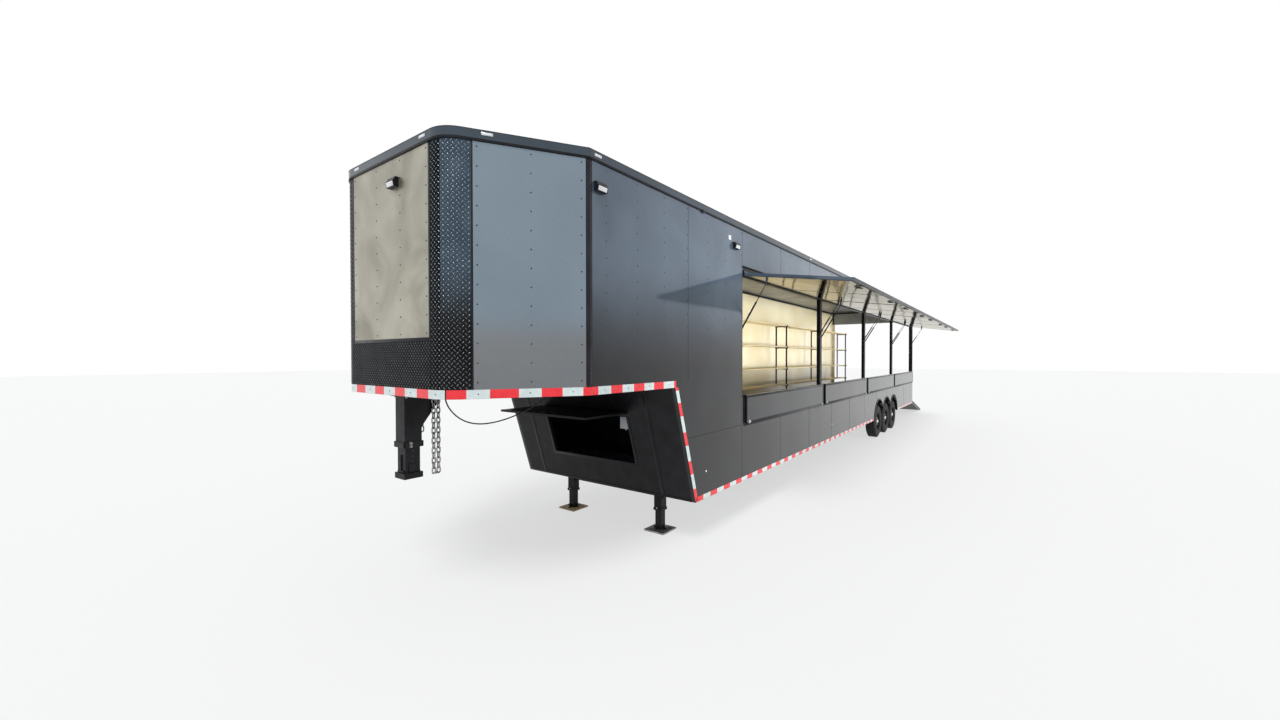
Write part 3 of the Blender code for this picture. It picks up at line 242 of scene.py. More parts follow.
# Pine boards, set lighter than the wood is to make up for the shade inside the cabin: painted light.
boardWoodAndPaintedLight = finishMaterial(
    "pineBoardPaintedLight", (0.76, 0.60, 0.32), (0.96, 0.85, 0.56), (0.40, 0.55), 0.0, 3.0,
    stretch=(0.6, 9.0, 14.0), bumps=(("noise", 22.0, 0.35, 0.0012),), stops=(0.25, 0.75))
padWood = finishMaterial(
    "weatheredPad", (0.34, 0.23, 0.12), (0.56, 0.42, 0.26), (0.6, 0.8), 0.0, 5.0,
    stretch=(1.5, 18.0, 6.0), bumps=(("noise", 16.0, 0.5, 0.0015),), stops=(0.25, 0.75))
cableBlack = finishMaterial(
    "cableRubber", (0.008, 0.008, 0.008), (0.018, 0.018, 0.018), (0.4, 0.6), 0.0, 18.0,
    bumps=(("noise", 200.0, 0.15, 0.0006),))
lensClear = finishMaterial(
    "lampLens", (0.70, 0.72, 0.74), (0.90, 0.92, 0.94), (0.05, 0.12), 0.1, 30.0,
    bumps=(("lines", 260.0, 0.35, 0.0006),), coat=0.8)
lensRed = finishMaterial(
    "redLens", (0.42, 0.004, 0.006), (0.62, 0.010, 0.012), (0.08, 0.16), 0.0, 24.0,
    bumps=(("lines", 240.0, 0.30, 0.0006),), coat=0.8)
boxGrey = finishMaterial(
    "greyPlastic", (0.30, 0.32, 0.34), (0.38, 0.40, 0.42), (0.35, 0.5), 0.0, 12.0,
    bumps=(("noise", 260.0, 0.15, 0.0006),))
gasketBlack = finishMaterial(
    "rubberSeal", (0.005, 0.005, 0.005), (0.010, 0.010, 0.010), (0.5, 0.7), 0.0, 30.0,
    bumps=(("noise", 160.0, 0.2, 0.0008),))
print("materials made")


# Modelling helpers
sunk = {"plate": 0.0004, "head": 0.0005}        # how deep a thin piece sits in what carries it
headCrown = 0.45                                # a button head's top, as a share of its radius
mergeGap = 0.000004


def markFaces(parts, index):
    for face in {face for vert in parts["verts"] for face in vert.link_faces}:
        face.material_index = index


# A block between two corners, turned by a matrix if one is given
def block(bm, low, high, index=0, matrix=None, soft=0.0):
    made = bmesh.ops.create_cube(bm, size=1.0)
    size = [b - a for a, b in zip(low, high)]
    middle = Vector([(a + b) / 2 for a, b in zip(low, high)])
    bmesh.ops.scale(bm, vec=size, verts=made["verts"])
    bmesh.ops.translate(bm, vec=middle, verts=made["verts"])
    if matrix:
        bmesh.ops.transform(bm, matrix=matrix, verts=made["verts"])
    markFaces(made, index)
    if soft:
        edges = list({edge for vert in made["verts"] for edge in vert.link_edges})
        bmesh.ops.bevel(bm, geom=edges, offset=soft, segments=2, profile=0.5, affect="EDGES", material=-1)


# A round bar between two points; with a second radius it tapers
def bar(bm, start, end, radius, sides=12, index=0, radius2=None):
    start, end = Vector(start), Vector(end)
    made = bmesh.ops.create_cone(bm, cap_ends=True, segments=sides, radius1=radius,
                                 radius2=radius if radius2 is None else radius2,
                                 depth=(end - start).length)
    turn = (end - start).to_track_quat("Z", "Y").to_matrix().to_4x4()
    bmesh.ops.transform(bm, matrix=Matrix.Translation((start + end) / 2) @ turn, verts=made["verts"])
    markFaces(made, index)


# A low button head on a surface, such as a rivet or a bolt
def button(bm, at, out, radius, height, sides=8, index=0):
    at, out = Vector(at), Vector(out)
    bar(bm, at - out * sunk["head"], at + out * height, radius, sides, index, radius * headCrown)


# A closed outline given as points, pushed along a direction
def prism(bm, points, push, index=0):
    verts = [bm.verts.new(point) for point in points]
    face = bm.faces.new(verts)
    made = bmesh.ops.extrude_face_region(bm, geom=[face])
    moved = [item for item in made["geom"] if isinstance(item, bmesh.types.BMVert)]
    bmesh.ops.translate(bm, vec=push, verts=moved)
    faces = {face for vert in verts + moved for face in vert.link_faces}
    for face in faces:
        face.material_index = index
    bmesh.ops.recalc_face_normals(bm, faces=list(faces))


# A small quad swept round an axis along Y
def sweepY(bm, corners, centre, angle, steps):
    face = bm.faces.new([bm.verts.new(corner) for corner in corners])
    bmesh.ops.spin(bm, geom=[face], cent=centre, axis=(0, 1, 0), angle=angle, steps=steps,
                   use_merge=False, use_duplicate=False)


# A profile of (radius, y) turned all the way round an axis along Y through a centre
def turnY(bm, profile, centre, sides, index=0, closed=True):
    centre = Vector(centre)
    verts = [bm.verts.new(centre + Vector((radius, y, 0))) for radius, y in profile]
    pairs = zip(verts, verts[1:] + verts[:1]) if closed else zip(verts, verts[1:])
    edges = [bm.edges.new(pair) for pair in pairs]
    before = set(bm.faces)
    bmesh.ops.spin(bm, geom=verts + edges, cent=centre, axis=(0, 1, 0), angle=2 * pi, steps=sides,
                   use_merge=True)
    for face in bm.faces:
        if face not in before:
            face.material_index = index


# A bmesh made into a piece in its place; smooth is the angle under which its edges are shaded round
def finishPiece(bm, name, materials, rider, smooth=35, matrix=toWorld, merge=True):
    if merge:
        bmesh.ops.remove_doubles(bm, verts=bm.verts, dist=mergeGap)
    bmesh.ops.recalc_face_normals(bm, faces=bm.faces)
    bmesh.ops.transform(bm, matrix=matrix, verts=bm.verts)
    mesh = bpy.data.meshes.new(name)
    bm.to_mesh(mesh)
    bm.free()
    for material in materials if isinstance(materials, (list, tuple)) else [materials]:
        mesh.materials.append(material)
    mesh.shade_smooth()
    mesh.set_sharp_from_angle(angle=radians(smooth))
    piece = bpy.data.objects.new(name, mesh)
    bpy.context.scene.collection.objects.link(piece)
    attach(piece, rider)
    return piece


def dress(node, material):
    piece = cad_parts[node]
    piece.data.materials.clear()
    piece.data.materials.append(material)


# The skin's five faces: origin, the direction along it and the outward direction
chamferLength = hypot(body["noseRun"], body["halfWidth"] - body["noseHalf"])
alongX = body["noseRun"] / chamferLength
alongY = (body["halfWidth"] - body["noseHalf"]) / chamferLength
faces = {"front": (Vector((0, -body["noseHalf"], 0)), Vector((0, 1, 0)), Vector((1, 0, 0)))}
for hand, sign in (("left", 1), ("right", -1)):
    faces[hand + "Corner"] = (Vector((0, sign * body["noseHalf"], 0)), Vector((-alongX, sign * alongY, 0)),
                              Vector((alongY, sign * alongX, 0)))
    faces[hand + "Side"] = (Vector((0, sign * body["halfWidth"], 0)), Vector((-1, 0, 0)),
                            Vector((0, sign, 0)))


# A matrix whose X runs along a face, Y up and Z out of it
def faceMatrix(name):
    origin, along, out = faces[name]
    return Matrix(((along.x, 0, out.x, origin.x), (along.y, 0, out.y, origin.y), (0, 1, 0, 0),
                   (0, 0, 0, 1)))


# A thin plate on a face: from and to along it, low and high, its thickness
def plateOn(bm, face, start, end, low, high, thickness, index=0, lift=0.0, soft=0.0):
    block(bm, (start, low, lift - sunk["plate"]), (end, high, lift + thickness), index,
          faceMatrix(face), soft)


def onFace(face, along, z, out=0.0):
    origin, run, outward = faces[face]
    return origin + run * along + outward * out + Vector((0, 0, z))


# The bends between the front and its corners, as in the part's source. Places round the nose
# are distances from the front's middle along its outline with sharp corners, left positive.
bend = {"radius": 0.220, "steps": 8}
bendTurn = atan2(alongX, alongY)
bendSetback = bend["radius"] * tan(bendTurn / 2)
flatHalf = body["noseHalf"] - bendSetback


# A spot on the outline and the way out of it
def noseSpot(distance):
    side, reach = (1 if distance >= 0 else -1), abs(distance)
    turn = bendTurn * min(max((reach - flatHalf) / (2 * bendSetback), 0.0), 1.0)
    if reach <= flatHalf:
        x, y = 0.0, reach
    elif turn < bendTurn:
        x, y = bend["radius"] * (cos(turn) - 1), flatHalf + bend["radius"] * sin(turn)
    else:
        x, y = -alongX * (reach - body["noseHalf"]), body["noseHalf"] + alongY * (reach - body["noseHalf"])
    return Vector((x, side * y, 0)), Vector((cos(turn), side * sin(turn), 0))


# The bends' folds between two distances, with both ends
def noseStops(start, end):
    folds = [flatHalf + 2 * bendSetback * k / bend["steps"] for k in range(bend["steps"] + 1)]
    return [start] + sorted(d for d in folds + [-d for d in folds] if start < d < end) + [end]


# A plate that follows the outline from one distance to another
def noseBand(bm, start, end, low, high, thickness, index=0, lift=0.0):
    spots = [noseSpot(d) for d in noseStops(start, end)]
    outline = [place + out * (lift - sunk["plate"]) for place, out in spots]
    outline += [place + out * (lift + thickness) for place, out in reversed(spots)]
    prism(bm, [point + Vector((0, 0, low)) for point in outline], (0, 0, high - low), index)


# The distance of a place on the front or on a corner
def noseDistance(face, along):
    if face == "front":
        return along - body["noseHalf"]
    return (body["noseHalf"] + along) * (1 if face == "leftCorner" else -1)


# Stage, light and camera
studio = {
    "floorSize": 160.0,
    "floorDrop": 0.001,
    "floorTone": (0.72, 0.72, 0.72),
    "floorRough": 0.9,
    "floorGlow": 0.62,              # of white, where the camera or a gloss sees the floor
    "worldTone": (0.93, 0.96, 1.0),
    "worldOnObject": 0.62,
    "sunStrength": 2.1,
    "sunAngle": 24.0,
    "sunAim": (-0.62, -0.30, -1.0),
    "fillSize": (14.0, 1.6),
    "fillPower": 185.0,
    "fillSpread": 50.0,
    "fillPlace": (-9.5, 8.0, 1.3),
    "fillAim": (0.0, -1.0, 0.14),
}


# The larger of two values
def larger(tree, first, second):
    node = addNode(tree, "Math", feeds={0: first, 1: second})
    node.operation = "MAXIMUM"
    return node.outputs[0]


def buildFloor():
    bm = bmesh.new()
    bmesh.ops.create_grid(bm, x_segments=1, y_segments=1, size=studio["floorSize"] / 2)
    mesh = bpy.data.meshes.new("studioFloor")
    bm.to_mesh(mesh)
    bm.free()
    floor = bpy.data.objects.new("studioFloor", mesh)
    bpy.context.scene.collection.objects.link(floor)
    floor.location.z = -studio["floorDrop"]
    material = bpy.data.materials.new("paleFloor")
    material.use_nodes = True
    tree = material.node_tree
    shader = tree.nodes["Principled BSDF"]
    shader.inputs["Roughness"].default_value = studio["floorRough"]
    shader.inputs["Base Color"].default_value = (*studio["floorTone"], 1)
    glow = addNode(tree, "Emission", {"Strength": 1.0})
    path = addNode(tree, "LightPath")
    seen = larger(tree, path.outputs["Is Camera Ray"], path.outputs["Is Glossy Ray"])
    share = addNode(tree, "Math", {1: studio["floorGlow"]}, {0: seen})
    share.operation = "MULTIPLY"
    mix = addNode(tree, "MixShader", feeds={0: share.outputs[0], 1: shader.outputs[0], 2: glow.outputs[0]})
    tree.links.new(mix.outputs[0], tree.nodes["Material Output"].inputs["Surface"])
    mesh.materials.append(material)


# The world is white where it is seen and dimmer where it lights the trailer
def buildWorld():
    world = bpy.data.worlds.new("studioWorld")
    bpy.context.scene.world = world
    world.use_nodes = True
    tree = world.node_tree
    lit = tree.nodes["Background"]
    lit.inputs["Strength"].default_value = studio["worldOnObject"]
    lit.inputs["Color"].default_value = (*studio["worldTone"], 1)
    white = addNode(tree, "Background", {"Color": (1, 1, 1, 1)})
    path = addNode(tree, "LightPath")
    seen = larger(tree, path.outputs["Is Camera Ray"], path.outputs["Is Glossy Ray"])
    seen = larger(tree, seen, path.outputs["Is Transmission Ray"])
    mix = addNode(tree, "MixShader", feeds={0: seen, 1: lit.outputs[0], 2: white.outputs[0]})
    tree.links.new(mix.outputs[0], tree.nodes["World Output"].inputs["Surface"])


def addLamp(name, data, aim):
    lamp = bpy.data.objects.new(name, data)
    bpy.context.scene.collection.objects.link(lamp)
    lamp.rotation_euler = Vector(aim).to_track_quat("-Z", "Y").to_euler()
    return lamp


def buildLights():
    sun = bpy.data.lights.new("softSun", "SUN")
    sun.energy = studio["sunStrength"]
    sun.angle = radians(studio["sunAngle"])
    addLamp("softSun", sun, studio["sunAim"])
    # a wide soft lamp that fills the cabin through its bays
    fill = bpy.data.lights.new("cabinFill", "AREA")
    fill.shape = "RECTANGLE"
    fill.size, fill.size_y = studio["fillSize"]
    fill.energy, fill.spread = studio["fillPower"], radians(studio["fillSpread"])
    lamp = addLamp("cabinFill", fill, studio["fillAim"])
    lamp.location = toWorld @ Vector(studio["fillPlace"])
    lamp.visible_camera = lamp.visible_glossy = False


view = {
    "place": (1.8583, 3.9090, 1.9657),
    "yaw": 3.778727,
    "pitch": -0.013060,
    "roll": -0.000670,
    "lens": 13.749,
    "sensor": 36.0,
    "shiftX": -0.00775,
    "shiftY": 0.00291,
    "clip": (0.05, 300.0),
}


def buildCamera():
    data = bpy.data.cameras.new("photoCamera")
    data.sensor_width = view["sensor"]
    data.lens = view["lens"]
    data.shift_x, data.shift_y = view["shiftX"], view["shiftY"]
    data.clip_start, data.clip_end = view["clip"]
    camera = bpy.data.objects.new("photoCamera", data)
    bpy.context.scene.collection.objects.link(camera)
    yaw, pitch, roll = view["yaw"], view["pitch"], view["roll"]
    ahead = Vector((cos(pitch) * cos(yaw), cos(pitch) * sin(yaw), sin(pitch)))
    right = ahead.cross(Vector((0, 0, 1))).normalized()
    up = right.cross(ahead)
    turnedRight = right * cos(roll) + up * sin(roll)
    turnedUp = up * cos(roll) - right * sin(roll)
    spot = toWorld @ Vector(view["place"])
    camera.matrix_world = Matrix((
        (turnedRight.x, turnedUp.x, -ahead.x, spot.x), (turnedRight.y, turnedUp.y, -ahead.y, spot.y),
        (turnedRight.z, turnedUp.z, -ahead.z, spot.z), (0, 0, 0, 1)))
    bpy.context.scene.camera = camera


bpy.context.scene.view_settings.view_transform = "Standard"
buildFloor()
buildWorld()
buildLights()
buildCamera()
print("stage and camera ready")

# Brake cable
cable = {
    "diameter": 0.012,
    "steps": 4,         # to each span between two points
    # the same route as in the part's source
    "points": ((-0.450, 0.030, 1.6507), (-0.450, 0.030, 1.638), (-0.450, 0.030, 1.624),
               (-0.456, 0.031, 1.590), (-0.476, 0.036, 1.540), (-0.515, 0.045, 1.485),
               (-0.575, 0.060, 1.430), (-0.655, 0.080, 1.390), (-0.750, 0.104, 1.372),
               (-0.860, 0.132, 1.376), (-0.975, 0.162, 1.398), (-1.090, 0.192, 1.434),
               (-1.200, 0.220, 1.480), (-1.300, 0.246, 1.530), (-1.385, 0.268, 1.578),
               (-1.436, 0.283, 1.612), (-1.450, 0.288, 1.630), (-1.450, 0.288, 1.640),
               (-1.450, 0.288, 1.6507)),
}


# A smooth line through the points, a few steps to each span
def smoothRoute(points, steps):
    route = []
    last = len(points) - 1
    for i in range(last):
        p0, p1, p2, p3 = [Vector(points[min(max(k, 0), last)]) for k in (i - 1, i, i + 1, i + 2)]
        for k in range(steps):
            t = k / steps
            route.append(0.5 * ((2 * p1) + (p2 - p0) * t + (2 * p0 - 5 * p1 + 4 * p2 - p3) * t ** 2
                                + (3 * p1 - p0 - 3 * p2 + p3) * t ** 3))
    return route + [Vector(points[-1])]


def buildCable():
    route = [toWorld @ point for point in smoothRoute(cable["points"], cable["steps"])]
    curve = bpy.data.curves.new("brakeCable", "CURVE")
    curve.dimensions = "3D"
    curve.bevel_depth = cable["diameter"] / 2
    curve.bevel_resolution = 3
    curve.use_fill_caps = True
    spline = curve.splines.new("POLY")
    spline.points.add(len(route) - 1)
    for point, place in zip(spline.points, route):
        point.co = (*place, 1.0)
    curve.materials.append(cableBlack)
    piece = bpy.data.objects.new("brakeCable", curve)
    bpy.context.scene.collection.objects.link(piece)
    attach(piece, "trailer")
    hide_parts("brake_cable")


buildCable()

# Skin: nose, corners, sides
skin = {
    "sheet": 0.0012,
    "champagne": (-0.602, 0.592, 2.100),        # from, to, bottom
    "frame": 0.016,                             # how far its black frame reaches past it
    "frameThick": 0.0028,
    "plateRun": 0.199,                          # tread plate round the nose's corners
    "plateTrim": 0.006,                         # half the strip at the plate's edge
    "cornerTrim": 0.028,
    "trimThick": 0.0030,
}


def buildNoseSheets():
    top, low = body["railLow"] - 0.001, body["tapeTop"]
    left, right, bottom = skin["champagne"]
    half, plateEnd, thick = body["noseHalf"], skin["plateRun"], skin["trimThick"]
    bm = bmesh.new()
    plateOn(bm, "front", half + left, half + right, bottom, top, skin["sheet"])
    finishPiece(bm, "champagneFront", champagne, "trailer")
    # a slim black frame round it
    past = skin["frame"]
    bm = bmesh.new()
    for start, end, z0, z1 in ((half + left - past, half + left + past / 2, bottom - past, top),
                               (half + right - past / 2, half + right + past, bottom - past, top),
                               (half + left, half + right, bottom - past, bottom + 0.010)):
        plateOn(bm, "front", start, end, z0, z1, skin["frameThick"], soft=0.0008)
    finishPiece(bm, "champagneFrame", blackTrim, "trailer")
    bm = bmesh.new()
    for face in ("leftCorner", "rightCorner"):
        plateOn(bm, face, plateEnd, chamferLength - 0.004, low, top, skin["sheet"])
    finishPiece(bm, "cornerSheets", cornerPaintAndReflection, "trailer")
    # black strips over the bends from corner to side and at the plate's edges
    trim, edge = skin["cornerTrim"], skin["plateTrim"]
    bm = bmesh.new()
    for corner, side in (("leftCorner", "leftSide"), ("rightCorner", "rightSide")):
        plateOn(bm, corner, chamferLength - trim, chamferLength + 0.0012, low, top, thick)
        plateOn(bm, side, body["noseRun"] - 0.0012, body["noseRun"] + trim, low, top, thick)
        plateOn(bm, corner, plateEnd - edge, plateEnd + edge, low, top, thick, soft=0.0008)
    finishPiece(bm, "cornerTrims", blackTrim, "trailer")


tread = {
    "sheet": 0.0016,
    "pitch": 0.038,
    "length": 0.0115,
    "width": 0.0032,
    "height": 0.0022,
    "lean": 45,
    "crown": 0.4,               # a bar's top, as a share of its foot
    "small": 0.75,              # the size of the bars on the corner strips
    "inset": (0.006, 0.004),    # from a plate's edges to its bars, along and up
    # the fold of each bend from which the tread plate takes its painted-reflection copy
    "reflectionFold": 3,
}


# Raised bars of tread plate over patches of a surface: rows leaning one way, and between them
# rows leaning the other. placeAt gives the matrix of a spot, with X along, Y up and Z out.
def treadBars(bm, placeAt, patches, pitch, scale=1.0):
    shape = Matrix.Diagonal((tread["length"] * scale, tread["width"] * scale, tread["height"], 1))
    lift = Matrix.Translation((0, 0, tread["height"] / 2 - 0.0002))
    for start, end, low, high in patches:
        columns, rows = max(round((end - start) / pitch), 1), max(round((high - low) / pitch), 1)
        for i in range(2 * columns):
            # a column is made by itself and then joined, which is quicker
            column = bmesh.new()
            lean = tread["lean"] if i % 2 else -tread["lean"]
            turned = lift @ Matrix.Rotation(radians(lean), 4, "Z") @ shape
            u = start + (i + 0.5) * (end - start) / (2 * columns)
            for j in range(i % 2, 2 * rows, 2):
                v = low + (j + 0.5) * (high - low) / (2 * rows)
                made = bmesh.ops.create_cone(column, cap_ends=True, segments=6, radius1=1.0,
                                             radius2=tread["crown"], depth=1.0)
                bmesh.ops.transform(column, matrix=placeAt(u, v) @ turned, verts=made["verts"])
            mesh = bpy.data.meshes.new("column")
            column.to_mesh(mesh)
            column.free()
            bm.from_mesh(mesh)
            bpy.data.meshes.remove(mesh)


# Patches drawn in from the edges of their plates
def inset(patches):
    along, up = tread["inset"]
    return [(start + along, end - along, low + up, high - up) for start, end, low, high in patches]


def nosePlace(distance, z):
    place, out = noseSpot(distance)
    place = place + out * tread["sheet"]
    return Matrix(((-out.y, 0, out.x, place.x), (out.x, 0, out.y, place.y), (0, 1, 0, z), (0, 0, 0, 1)))


def buildTreadPlate():
    top, low = body["railLow"] - 0.004, body["tapeTop"]
    left, right, bottom = skin["champagne"]
    past, trim = skin["frame"], skin["cornerTrim"]
    reach = body["noseHalf"] + skin["plateRun"] - skin["plateTrim"]
    plates = ((-reach, left - past, low, top), (right + past, reach, low, top),
              (left - past, right + past, low, bottom - past))
    # painted reflection: from partway round each bend the plate takes its copy that turns lighter and bluer
    # high up, standing in for the sky it reflects
    split = flatHalf + 2 * bendSetback * tread["reflectionFold"] / bend["steps"]
    bm = bmesh.new()
    for start, end, z0, z1 in plates:
        noseBand(bm, max(start, -split), min(end, split), z0, z1, tread["sheet"], 0)
    for ends in ((-reach, -split), (split, reach)):
        noseBand(bm, *ends, low, top, tread["sheet"], 1)
    finishPiece(bm, "treadSheets", [blackTread, treadSkyReflection], "trailer")
    bm = bmesh.new()
    treadBars(bm, nosePlace, inset(plates), tread["pitch"])
    # the strips over the bends from corner to side have small bars
    corner = body["noseHalf"] + chamferLength
    for sign in (1, -1):
        ends = sorted((sign * (corner - trim + 0.004), sign * (corner - 0.004)))
        treadBars(bm, nosePlace, [(*ends, low + 0.004, top - 0.004)], tread["pitch"], tread["small"])
    for face in ("leftSide", "rightSide"):
        matrix = faceMatrix(face)
        strip = (body["noseRun"] + 0.003, body["noseRun"] + trim - 0.003, low + 0.004, top - 0.004)
        treadBars(bm, lambda u, v: matrix @ Matrix.Translation((u, v, skin["trimThick"])), [strip],
                  tread["pitch"], tread["small"])
    finishPiece(bm, "treadBars", treadBarGlint, "trailer", smooth=50, merge=False)


rivets = {
    "radius": 0.0072,
    "height": 0.0030,
    "pitch": 0.1300,
    "column": 0.4064,
    "first": 1.087,
    "noseShares": (0.03, 0.345, 0.66, 0.97),    # across the champagne panel
    "cornerColumns": (0.232, 0.607, 0.985),
    "overWheel": (0.58, 0.98),                  # within this of an axle, from this height
    "bayGap": (1.10, 3.10),                     # left free for the bays and flaps
}
doorSpan = (-bays["start"] - 0.05, -bayEnds[-1][1] + 0.06)


# Whether a station on a side is within a reach of an axle
def nearAxle(along, reach):
    return min(abs(along + x) for x in axleX) < reach


def rivetColumn(bm, face, along, low, high, out=0.0):
    count = max(int((high - low) / rivets["pitch"]), 1)
    for k in range(count + 1):
        z = low + (high - low) * k / count
        button(bm, onFace(face, along, z, out), faces[face][2], rivets["radius"], rivets["height"])


def buildRivets():
    top = body["railLow"] - 0.035
    bm = bmesh.new()
    half = body["noseHalf"]
    left, right, bottom = skin["champagne"]
    for share in rivets["noseShares"]:
        rivetColumn(bm, "front", half + left + (right - left) * share, bottom + 0.04, top, out=skin["sheet"])
    for face in ("leftCorner", "rightCorner"):
        for along in rivets["cornerColumns"]:
            rivetColumn(bm, face, along, body["tapeTop"] + 0.05, top, out=skin["sheet"])
    finishPiece(bm, "noseRivets", rivetSteel, "trailer", smooth=60, merge=False)
    bm = bmesh.new()
    wheelReach, wheelTop = rivets["overWheel"]
    gapLow, gapHigh = rivets["bayGap"]
    along = rivets["first"]
    while along < body["length"] - 0.10:
        low = body["tapeTop"] + 0.05 if along < -body["dropTopX"] else body["bottom"] + 0.10
        if -body["dropTopX"] < along < -body["dropBottomX"] + 0.05:
            low = body["tapeTop"]
        if nearAxle(along, wheelReach):
            low = wheelTop
        rivetColumn(bm, "rightSide", along, low, top)
        if doorSpan[0] - 0.02 < along < doorSpan[1] + 0.02:
            rivetColumn(bm, "leftSide", along, gapHigh, top)
            rivetColumn(bm, "leftSide", along, low, gapLow)
        else:
            rivetColumn(bm, "leftSide", along, low, top)
        along += rivets["column"]
    finishPiece(bm, "sideRivets", rivetSteel, "trailer", smooth=60, merge=False)


seams = {
    "every": 3,                     # rivet columns from one sheet joint to the next
    "lap": (0.012, 0.015),          # from a rivet column to its slim strip's edges
    "overWheel": (0.60, 0.96),
    "bayGap": (1.13, 3.085),
    "long": (1.146, 1.152),         # the long seam's heights
    "longStart": 2.32,
    "longEnd": 3.64,
}


def buildSeams():
    bm = bmesh.new()
    # sheet joints on the sides
    wheelReach, wheelTop = seams["overWheel"]
    gapLow, gapHigh = seams["bayGap"]
    for face in ("leftSide", "rightSide"):
        along = rivets["first"] + seams["every"] * rivets["column"]
        while along < body["length"] - 0.3:
            low = (body["noseBottom"] if along < -body["dropBottomX"] else body["bottom"]) + 0.07
            if nearAxle(along, wheelReach):
                low = wheelTop
            spans = ((low, body["railLow"]),)
            if face == "leftSide" and doorSpan[0] < along < doorSpan[1]:
                spans = ((low, gapLow), (gapHigh, body["railLow"]))
            for z0, z1 in spans:
                plateOn(bm, face, along + seams["lap"][0], along + seams["lap"][1], z0, z1, 0.0010)
            along += seams["every"] * rivets["column"]
    # the long seam under the serving bays
    plateOn(bm, "leftSide", seams["longStart"], seams["longEnd"], *seams["long"], skin["sheet"])
    plateOn(bm, "rightSide", seams["longStart"], body["length"] - 0.02, *seams["long"], skin["sheet"])
    finishPiece(bm, "sheetJoints", gasketBlack, "trailer")


# Conspicuity tape: boundaries along each face, starting colour first
tapeRuns = {
    "front": ("white", (0.018, 0.182, 0.340, 0.512, 0.662, 0.837, 0.987, 1.161, 1.319, 1.498)),
    "corner": ("red", (0.012, 0.156, 0.314, 0.516, 0.680, 0.837, 0.996, 1.047)),
    "side": ("red", (0.893, 0.990, 1.143, 1.288, 1.441, 1.590, 1.735, 1.889, 2.064, 2.100)),
    # down the slanted edge, as heights
    "drop": ("red", (1.672, 1.640, 1.518, 1.382, 1.217, 1.077, 0.914, 0.770, 0.613, 0.480)),
    "pitch": 0.1524,
    "height": 0.052,
    "thickness": 0.0008,
    "slant": (0.002, 0.054),        # from the slanted edge to the strip's own edges
    "wheelGap": (10.60, 13.55),
}


def buildTape():
    colour, other = {"red": 0, "white": 1}, {"red": "white", "white": "red"}
    low, high, thick = body["noseBottom"] + 0.001, body["tapeTop"], tapeRuns["thickness"]
    bm = bmesh.new()
    rivetSpots = []
    for face, run in (("front", "front"), ("leftCorner", "corner"), ("rightCorner", "corner"),
                      ("leftSide", "side"), ("rightSide", "side")):
        first, marks = tapeRuns[run]
        for k, (start, end) in enumerate(zip(marks, marks[1:])):
            name = other[first] if k % 2 else first
            if "Side" in face:
                plateOn(bm, face, start, end, low, high, thick, colour[name])
            else:
                ends = sorted((noseDistance(face, start), noseDistance(face, end)))
                noseBand(bm, *ends, low, high, thick, colour[name])
            if name == "white":
                rivetSpots.append((face, (start + end) / 2))
    slope = (body["dropTopX"] - body["dropBottomX"]) / (body["noseBottom"] - body["bottom"])
    first, marks = tapeRuns["drop"]
    near, far = tapeRuns["slant"]
    gapStart, gapEnd = tapeRuns["wheelGap"]
    for sign in (1, -1):
        y0, y1 = sign * (body["halfWidth"] - sunk["plate"]), sign * (body["halfWidth"] + thick)
        edge = [(mark, body["dropTopX"] - (body["noseBottom"] - mark) * slope) for mark in marks]
        for k, ((za, xa), (zb, xb)) in enumerate(zip(edge, edge[1:])):
            name = other[first] if k % 2 else first
            corners = [(xa - near, y0, za), (xa - far, y0, za), (xb - far, y0, zb), (xb - near, y0, zb)]
            prism(bm, corners, (0, y1 - y0, 0), colour[name])
        # along the bottom edge to the rear, with a break at the wheels
        face = "leftSide" if sign > 0 else "rightSide"
        along, k = -body["dropBottomX"] + 0.004, 0
        while along < body["length"] - 0.16:
            if along + tapeRuns["pitch"] < gapStart or along > gapEnd:
                plateOn(bm, face, along, along + tapeRuns["pitch"], body["bottom"] + 0.002,
                        body["bottom"] + tapeRuns["height"], thick, k % 2)
            along += tapeRuns["pitch"]
            k += 1
    finishPiece(bm, "reflectiveTape", [tapeRed, tapeWhite], "trailer", merge=False)
    bm = bmesh.new()
    for face, along in rivetSpots:
        if "Side" in face:
            place, out = onFace(face, along, 0), faces[face][2]
        else:
            place, out = noseSpot(noseDistance(face, along))
        button(bm, place + out * thick + Vector((0, 0, (low + high) / 2)), out, 0.006, 0.002, 8)
    finishPiece(bm, "tapeRivets", blackTrim, "trailer", smooth=60, merge=False)


buildNoseSheets()
buildTreadPlate()
buildRivets()
buildSeams()
buildTape()
print("skin dressed")

# Roof rail and roof
rail = {
    "proud": railOut,
    # bands along the rail: bottom, height, how far out, and 0 for black or 1 for slate
    "bands": ((3.4895, 0.0095, 0.0030, 0), (3.5060, 0.0580, 0.0014, 1), (3.5640, 0.0050, 0.0028, 1)),
    # the splice bracket over the drop: from, to, low and high
    "splice": (-2.630, -2.570, 3.476, 3.506),
    "firstBow": -0.95,
    "bows": 0.6096,
}


